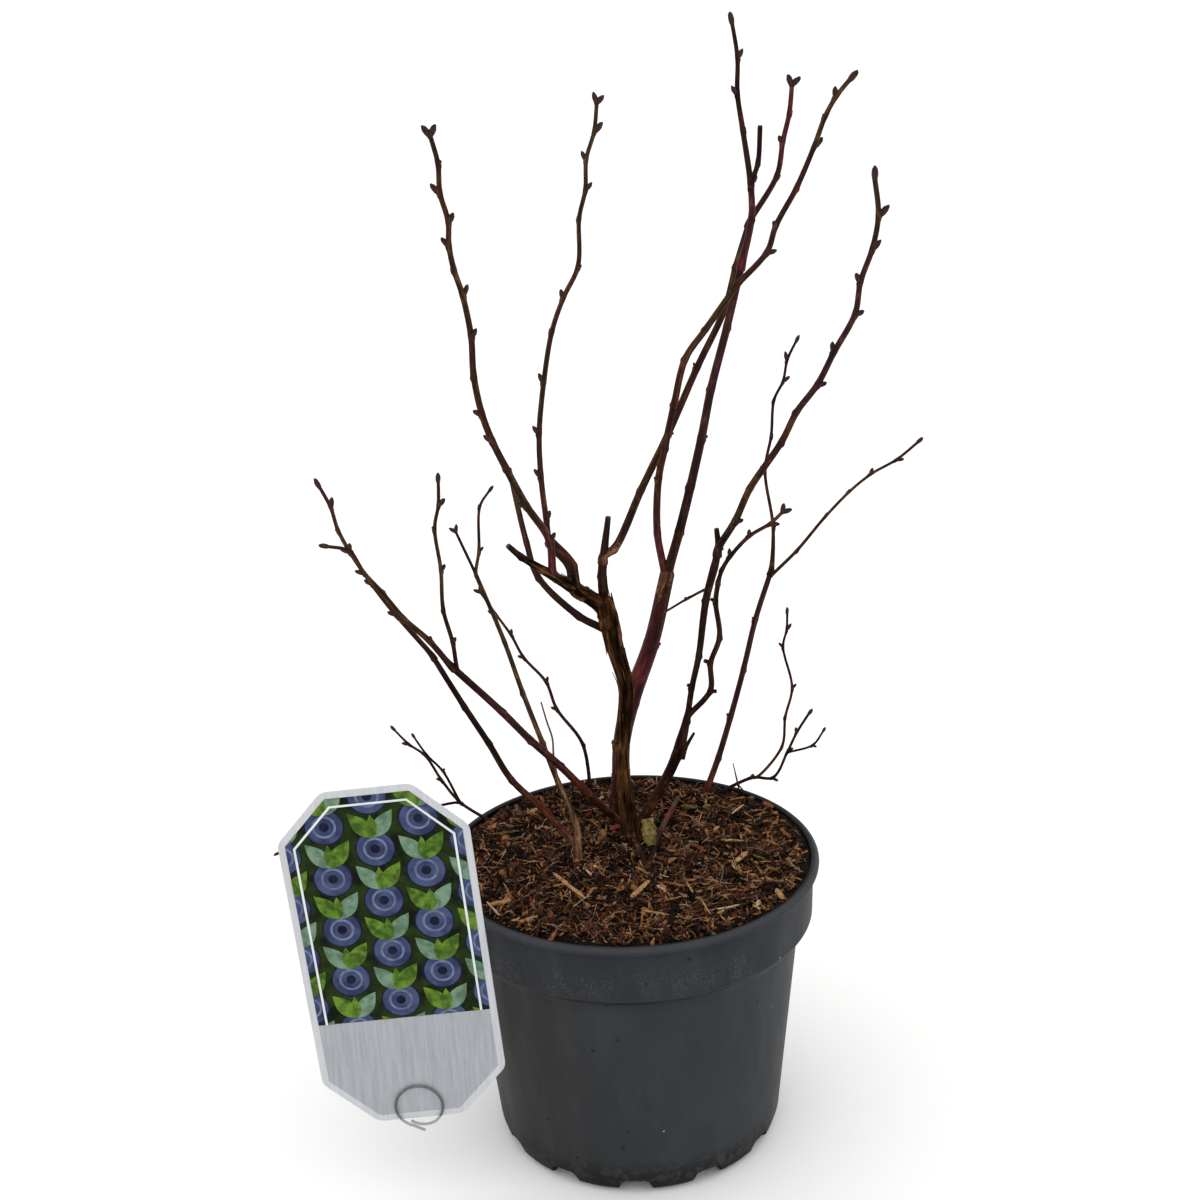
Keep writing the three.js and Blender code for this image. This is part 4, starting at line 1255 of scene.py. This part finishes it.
# Picture card: a coated board with a printed panel, a clear strap behind it and a clear ring on its face.
card = {
    "width": 90, "height": 179, "corner": 24, "rounding": 3, "thickness": 0.8, "bevel": 0.2,
    "tilt": 4, "middle": [-114, -64.6, 134], "ink": 0.03,
    "border": 3.4, "panelFoot": -32.5, "lineInset": 3.6, "lineWidth": 1.1,
    "columnPitch": 22, "rowPitch": 27, "firstRow": 10,
    "dot": 19,
    "dotRings": [(0.5, "duskBlueInk"), (0.46, "slateBlueInk"), (0.3, "bloomBlueInk"), (0.24, "slateBlueInk"),
                 (0.12, "duskBlueInk")],
    "leafLength": 17, "leafWidth": 8, "leafLean": 38, "leafDrop": 0.45,
    "inks": {  # from, to, size of a blotch
        "leafShadeInk": ("#0b1008", "#24330f", 9),
        "slateBlueInk": ("#2b3350", "#434c6c", 7),
        "duskBlueInk": ("#0e1120", "#1a1f36", 5),
        "bloomBlueInk": ("#4f5876", "#6b7492", 4),
        "leafGreenInk": ("#35501a", "#5f7f2a", 4),
        "greyGreenInk": ("#4f6a55", "#6f8a73", 4),
        "whiteInk": ("#cdcfd1", "#d8dadb", 20),
    },
    "strapPath": [(-63.7, 128), (-63.7, 151.9), (-25.6, 151.9), (-25.6, 148.9)],
    "strapPlace": -78, "strapWidth": 8, "strapThickness": 1.2, "strapRounding": 2.2,
    "ringMiddle": (0.2, -82.4), "ringRadius": 11.5, "ringWire": 1.45, "ringTurn": (-122, 250, 100),
    "ringCurl": (0.2, -55, 67), "ringTail": [5, -0.2, -3],
}


def leftOf(run):
    return np.column_stack([-run[:, 1], run[:, 0]])


def inset(outline, distance):  # a closed outline, anticlockwise, with each side moved in
    corners = np.asarray(outline, dtype=float)
    inIn = leftOf(unit(corners - np.roll(corners, 1, axis=0)))
    half = inIn + leftOf(unit(np.roll(corners, -1, axis=0) - corners))
    return corners + half * (distance / np.maximum(0.3, (half * inIn).sum(axis=1)))[:, None]


def clipped(outline, border):  # the part of an outline that lies inside a bulging one
    points = [np.array(point, dtype=float) for point in outline]
    for start, end in zip(border, np.roll(border, -1, axis=0)):
        way = end - start
        kept = []
        for a, b in zip(points, points[1:] + points[:1]):
            sideA = way[0] * (a - start)[1] - way[1] * (a - start)[0]
            sideB = way[0] * (b - start)[1] - way[1] * (b - start)[0]
            if sideA >= 0:
                kept.append(a)
            if (sideA >= 0) != (sideB >= 0):
                kept.append(a + (b - a) * sideA / (sideA - sideB))
        points = kept
    return points


def plate(outline, front, back, bevel, slot=0):  # flat, of (x, depth, z); its front has the lower depth
    outline = np.asarray(outline, dtype=float)
    inner = inset(outline, bevel)
    rings = [(inner, front), (outline, front + bevel), (outline, back - bevel), (inner, back)]
    points = np.vstack([np.insert(ring, 1, depth, axis=1) for ring, depth in rings])
    faces = [face[::-1] for face in tubeFaces(len(rings), len(outline))]
    return points, faces, [slot] * len(faces)


def onCard(points):  # from the card's own plane to where it hangs
    c, s = cos(radians(card["tilt"])), sin(radians(card["tilt"]))
    x, y, z = points.T
    return np.column_stack([x * c - z * s, y, x * s + z * c]) + card["middle"]


def disc(middle, radius, sides=36):
    return [(middle[0] + radius * cos(a), middle[1] + radius * sin(a)) for a in anglesRound(sides)]


def leaf(foot, heading, long, wide, sides=11):  # a pointed oval that runs from its foot
    t = np.linspace(0, 1, sides)
    bulge = wide / 2 * np.sin(pi * t ** 0.85)
    shape = np.vstack([np.column_stack([t * long, -bulge]), np.column_stack([t * long, bulge])[::-1][1:-1]])
    c, s = cos(radians(heading)), sin(radians(heading))
    return shape @ np.array([[c, s], [-s, c]]) + foot


def brushedMaterial(name, low, high):
    # White-faced board with a drawn silver-grey tint, offset printed and varnished: smooth, finely streaked.
    material = newMaterial(name)
    drawn = placeOnPiece(material, (1, 1, 0.05))
    colour = mottled(drawn, grain(1.1, 3, 0.7), [(0.3, low), (0.7, high)])
    return coat(material, {"Roughness": 0.4, "IOR": 1.5, "Specular IOR Level": 0.3}, {"Base Color": colour})


def inkMaterial(name, low, high, size):
    # Offset ink under varnish: flat colour with a soft shine and hardly any texture.
    material = newMaterial(name)
    colour = mottled(placeOnPiece(material), grain(size, 2), [(0.35, low), (0.65, high)])
    return coat(material, {"Roughness": 0.36, "IOR": 1.5, "Specular IOR Level": 0.06}, {"Base Color": colour})


def clearMaterial(name, tint):
    # Clear PET, moulded: see-through with bright or, where it is thick and round, dark edges.
    material = newMaterial(name)
    haze = mottled(placeOnPiece(material), grain(6), [(0.3, 0.04), (0.7, 0.12)])
    settings = {"Base Color": linear(tint), "Transmission Weight": 1, "IOR": 1.5}
    return coat(material, settings, {"Roughness": haze})


def pictureShapes(picture, lower):  # outline, level and ink: dots in staggered columns with leaves between
    shapes = [(picture, 1, "leafShadeInk"), (lower, 1, "silverTint")]
    dot, long, wide, lean = (card[key] for key in ("dot", "leafLength", "leafWidth", "leafLean"))
    for column in range(-2, 3):
        for row in range(-2, 6):
            x = column * card["columnPitch"]
            z = card["panelFoot"] + card["firstRow"] + (row + (column % 2) / 2) * card["rowPitch"]
            flip = 1 if (row + column) % 2 else -1
            green, grey = ("leafGreenInk", "greyGreenInk") if column % 2 else ("greyGreenInk", "leafGreenInk")
            leafFoot = np.array([x, z + card["rowPitch"] / 2]) - [0, long * card["leafDrop"]]
            shapes += [(leaf(leafFoot, 90 - lean * flip, long, wide), 7, green),
                       (leaf(leafFoot, 90 + lean * flip, long, wide), 8, grey),
                       (leaf(leafFoot, 90, long * 0.7, wide * 0.6), 9, "leafGreenInk")]
            shapes += [(disc((x, z), dot * share), level, name)
                       for level, (share, name) in enumerate(card["dotRings"], 2)]
    return shapes


def makeCard():
    w, h, c = card["width"] / 2, card["height"] / 2, card["corner"]
    outline = np.array([(w - c, -h), (w, c - h), (w, h - c), (w - c, h),
                        (c - w, h), (-w, h - c), (-w, c - h), (c - w, -h)])
    rounded = roundedProfile([(0, -h), *outline, (0, -h)], card["rounding"])[:-1]
    front = -card["thickness"]
    board = brushedMaterial("varnishedBoard", "#b4b6ba", "#c2c4c8")
    points, faces, _ = plate(rounded, front, 0, card["bevel"])
    piece = makePiece("card_board", onCard(points), faces, [board], smooth=False)
    settle(piece, "card", "picture_card")
    margin = inset(outline, card["border"])
    foot = card["panelFoot"]
    picture = np.array(clipped(margin, np.array([(-w, foot), (w, foot), (w, h), (-w, h)])))
    lower = np.array(clipped(margin, np.array([(-w, -h), (w, -h), (w, foot), (-w, foot)])))
    inks = {name: inkMaterial(name, *look) for name, look in card["inks"].items()}
    inks["silverTint"] = brushedMaterial("silverTint", "#8f9297", "#a5a8ad")
    slotOf = {name: slot for slot, name in enumerate(inks)}
    ink = card["ink"]
    border = inset(picture, 0.02)
    parts = []
    for shape, level, name in pictureShapes(picture, lower):
        shape = shape if level == 1 else clipped(shape, border)
        if len(shape) > 2:
            parts.append(plate(shape, front - ink * level, front - ink * (level - 1) + 0.01, 0, slotOf[name]))
    outer, inner = inset(picture, card["lineInset"]), inset(picture, card["lineInset"] + card["lineWidth"])
    for a in range(len(outer)):  # a thin white line round the picture, open at its foot
        b = (a + 1) % len(outer)
        if picture[a][1] > foot + 1 or picture[b][1] > foot + 1:
            strip = [(x, max(z, foot)) if z > foot + 6 else (x, foot)
                     for x, z in (outer[a], outer[b], inner[b], inner[a])]
            parts.append(plate(strip, front - ink * 11, front - ink * 10, 0, slotOf["whiteInk"]))
    points, faces, slots = joined(parts)
    piece = makePiece("card_print", onCard(points), faces, inks.values(), slots, smooth=False)
    settle(piece, "card")


def wireAlong(centres, radius, sides=12):
    _, across, back = ringAxes(centres)
    points = centres[:, None, :] + outwards(across, back, sides) * radius
    return points.reshape(-1, 3), tubeFaces(len(centres), sides)


def makeStrap():
    path = roundedProfile(card["strapPath"], card["strapRounding"])
    out = leftOf(unit(np.gradient(path, axis=0))) * card["strapThickness"] / 2
    outline = np.vstack([path + out, (path - out)[::-1]])[::-1]
    points, faces, _ = plate(outline, 0, card["strapWidth"], 0.15)
    points = np.column_stack([card["strapPlace"] - points[:, 1], points[:, 0], points[:, 2]])
    clear = clearMaterial("clearMouldedPet", "#e9efee")
    piece = makePiece("rim_strap", points, faces, [clear], smooth=False)
    settle(piece, "clear_plastic", "card_strap")


def makeRing():  # a ring that curls in at its start and runs out into a tail
    x, z = card["ringMiddle"]
    turn = np.radians(np.linspace(*card["ringTurn"]))
    tighter, curlFrom, curlOver = card["ringCurl"]
    curl = card["ringRadius"] * (1 - tighter * np.clip((radians(curlFrom) - turn) / radians(curlOver), 0, 1))
    ring = np.column_stack([x + curl * np.cos(turn), np.zeros(len(turn)), z + curl * np.sin(turn)])
    tail = ring[-1] + np.outer(np.linspace(0.15, 1, 7), card["ringTail"])
    depth = -card["thickness"] - card["ringWire"] / 2 - 0.3
    centres = onCard(np.vstack([ring, tail]) + [0, depth, 0])
    points, faces = wireAlong(centres, card["ringWire"] / 2)
    aged = clearMaterial("agedClearPet", "#a3aaa8")
    settle(makePiece("hanging_ring", points, faces, [aged]), "clear_plastic", "card_ring")


makeCard()
makeStrap()
makeRing()
print("card: board, printed panel, strap and ring")

# Plain floor, soft light and the camera.
view = {"place": (0, -815.5, 573.9), "pitch": 19.37, "yaw": -0.676, "roll": -2.51, "lens": 54, "sensor": 36}
studio = {
    "floorRadius": 30000,
    "floorSides": 96,
    "sky": 1.16,
    "suns": [  # where the light comes from, its width in degrees, its strength
        {"place": (-600, -900, 1300), "width": 60, "power": 0.18},
        {"place": (900, -500, 600), "width": 60, "power": 0.16},
    ],
}


def aimedAt(place, target):
    back = unit(np.array(place, dtype=float) - np.array(target, dtype=float))
    side = unit(np.cross((0, 0, 1), back))
    up = np.cross(back, side)
    turn = Matrix((side, up, back)).transposed().to_4x4()
    return Matrix.Translation([value * mm for value in place]) @ turn


def makeStudio():
    material = newMaterial("paperFloor")  # matt paper, smooth and nearly white
    shade = mottled(placeOnPiece(material), grain(400), [(0.3, "#f8f8f7"), (0.7, "#fbfbfa")])
    coat(material, {"Roughness": 0.9}, {"Base Color": shade})
    sides, radius = studio["floorSides"], studio["floorRadius"]
    rim = [[radius * cos(a), radius * sin(a), 0] for a in anglesRound(sides)]
    makePiece("floor", rim, [tuple(range(sides))], [material])
    for sun in studio["suns"]:
        lamp = bpy.data.lights.new("softSun", "SUN")
        lamp.angle = radians(sun["width"])
        lamp.energy = sun["power"]
        holder = bpy.data.objects.new("softSun", lamp)
        holder.matrix_world = aimedAt(sun["place"], (0, 0, 220))
        bpy.context.scene.collection.objects.link(holder)
    world = bpy.data.worlds.new("softSky")
    world.use_nodes = True
    world.node_tree.nodes["Background"].inputs["Color"].default_value = (1, 1, 1, 1)
    world.node_tree.nodes["Background"].inputs["Strength"].default_value = studio["sky"]
    bpy.context.scene.world = world


def makeCamera():
    pitch, yaw, roll = (radians(view[key]) for key in ("pitch", "yaw", "roll"))
    ahead = np.array([sin(yaw) * cos(pitch), cos(yaw) * cos(pitch), -sin(pitch)])
    level = np.array([cos(yaw), -sin(yaw), 0])
    raised = np.cross(level, ahead)
    right = level * cos(roll) + raised * sin(roll)
    up = raised * cos(roll) - level * sin(roll)
    lens = bpy.data.cameras.new("camera")
    lens.lens = view["lens"]
    lens.sensor_width = view["sensor"]
    lens.clip_end = 100
    camera = bpy.data.objects.new("camera", lens)
    turn = Matrix((right, up, -ahead)).transposed().to_4x4()
    camera.matrix_world = Matrix.Translation([value * mm for value in view["place"]]) @ turn
    bpy.context.scene.collection.objects.link(camera)
    bpy.context.scene.camera = camera


makeStudio()
makeCamera()
bpy.context.scene.view_settings.view_transform = "Standard"
print("studio: floor, lights and camera")
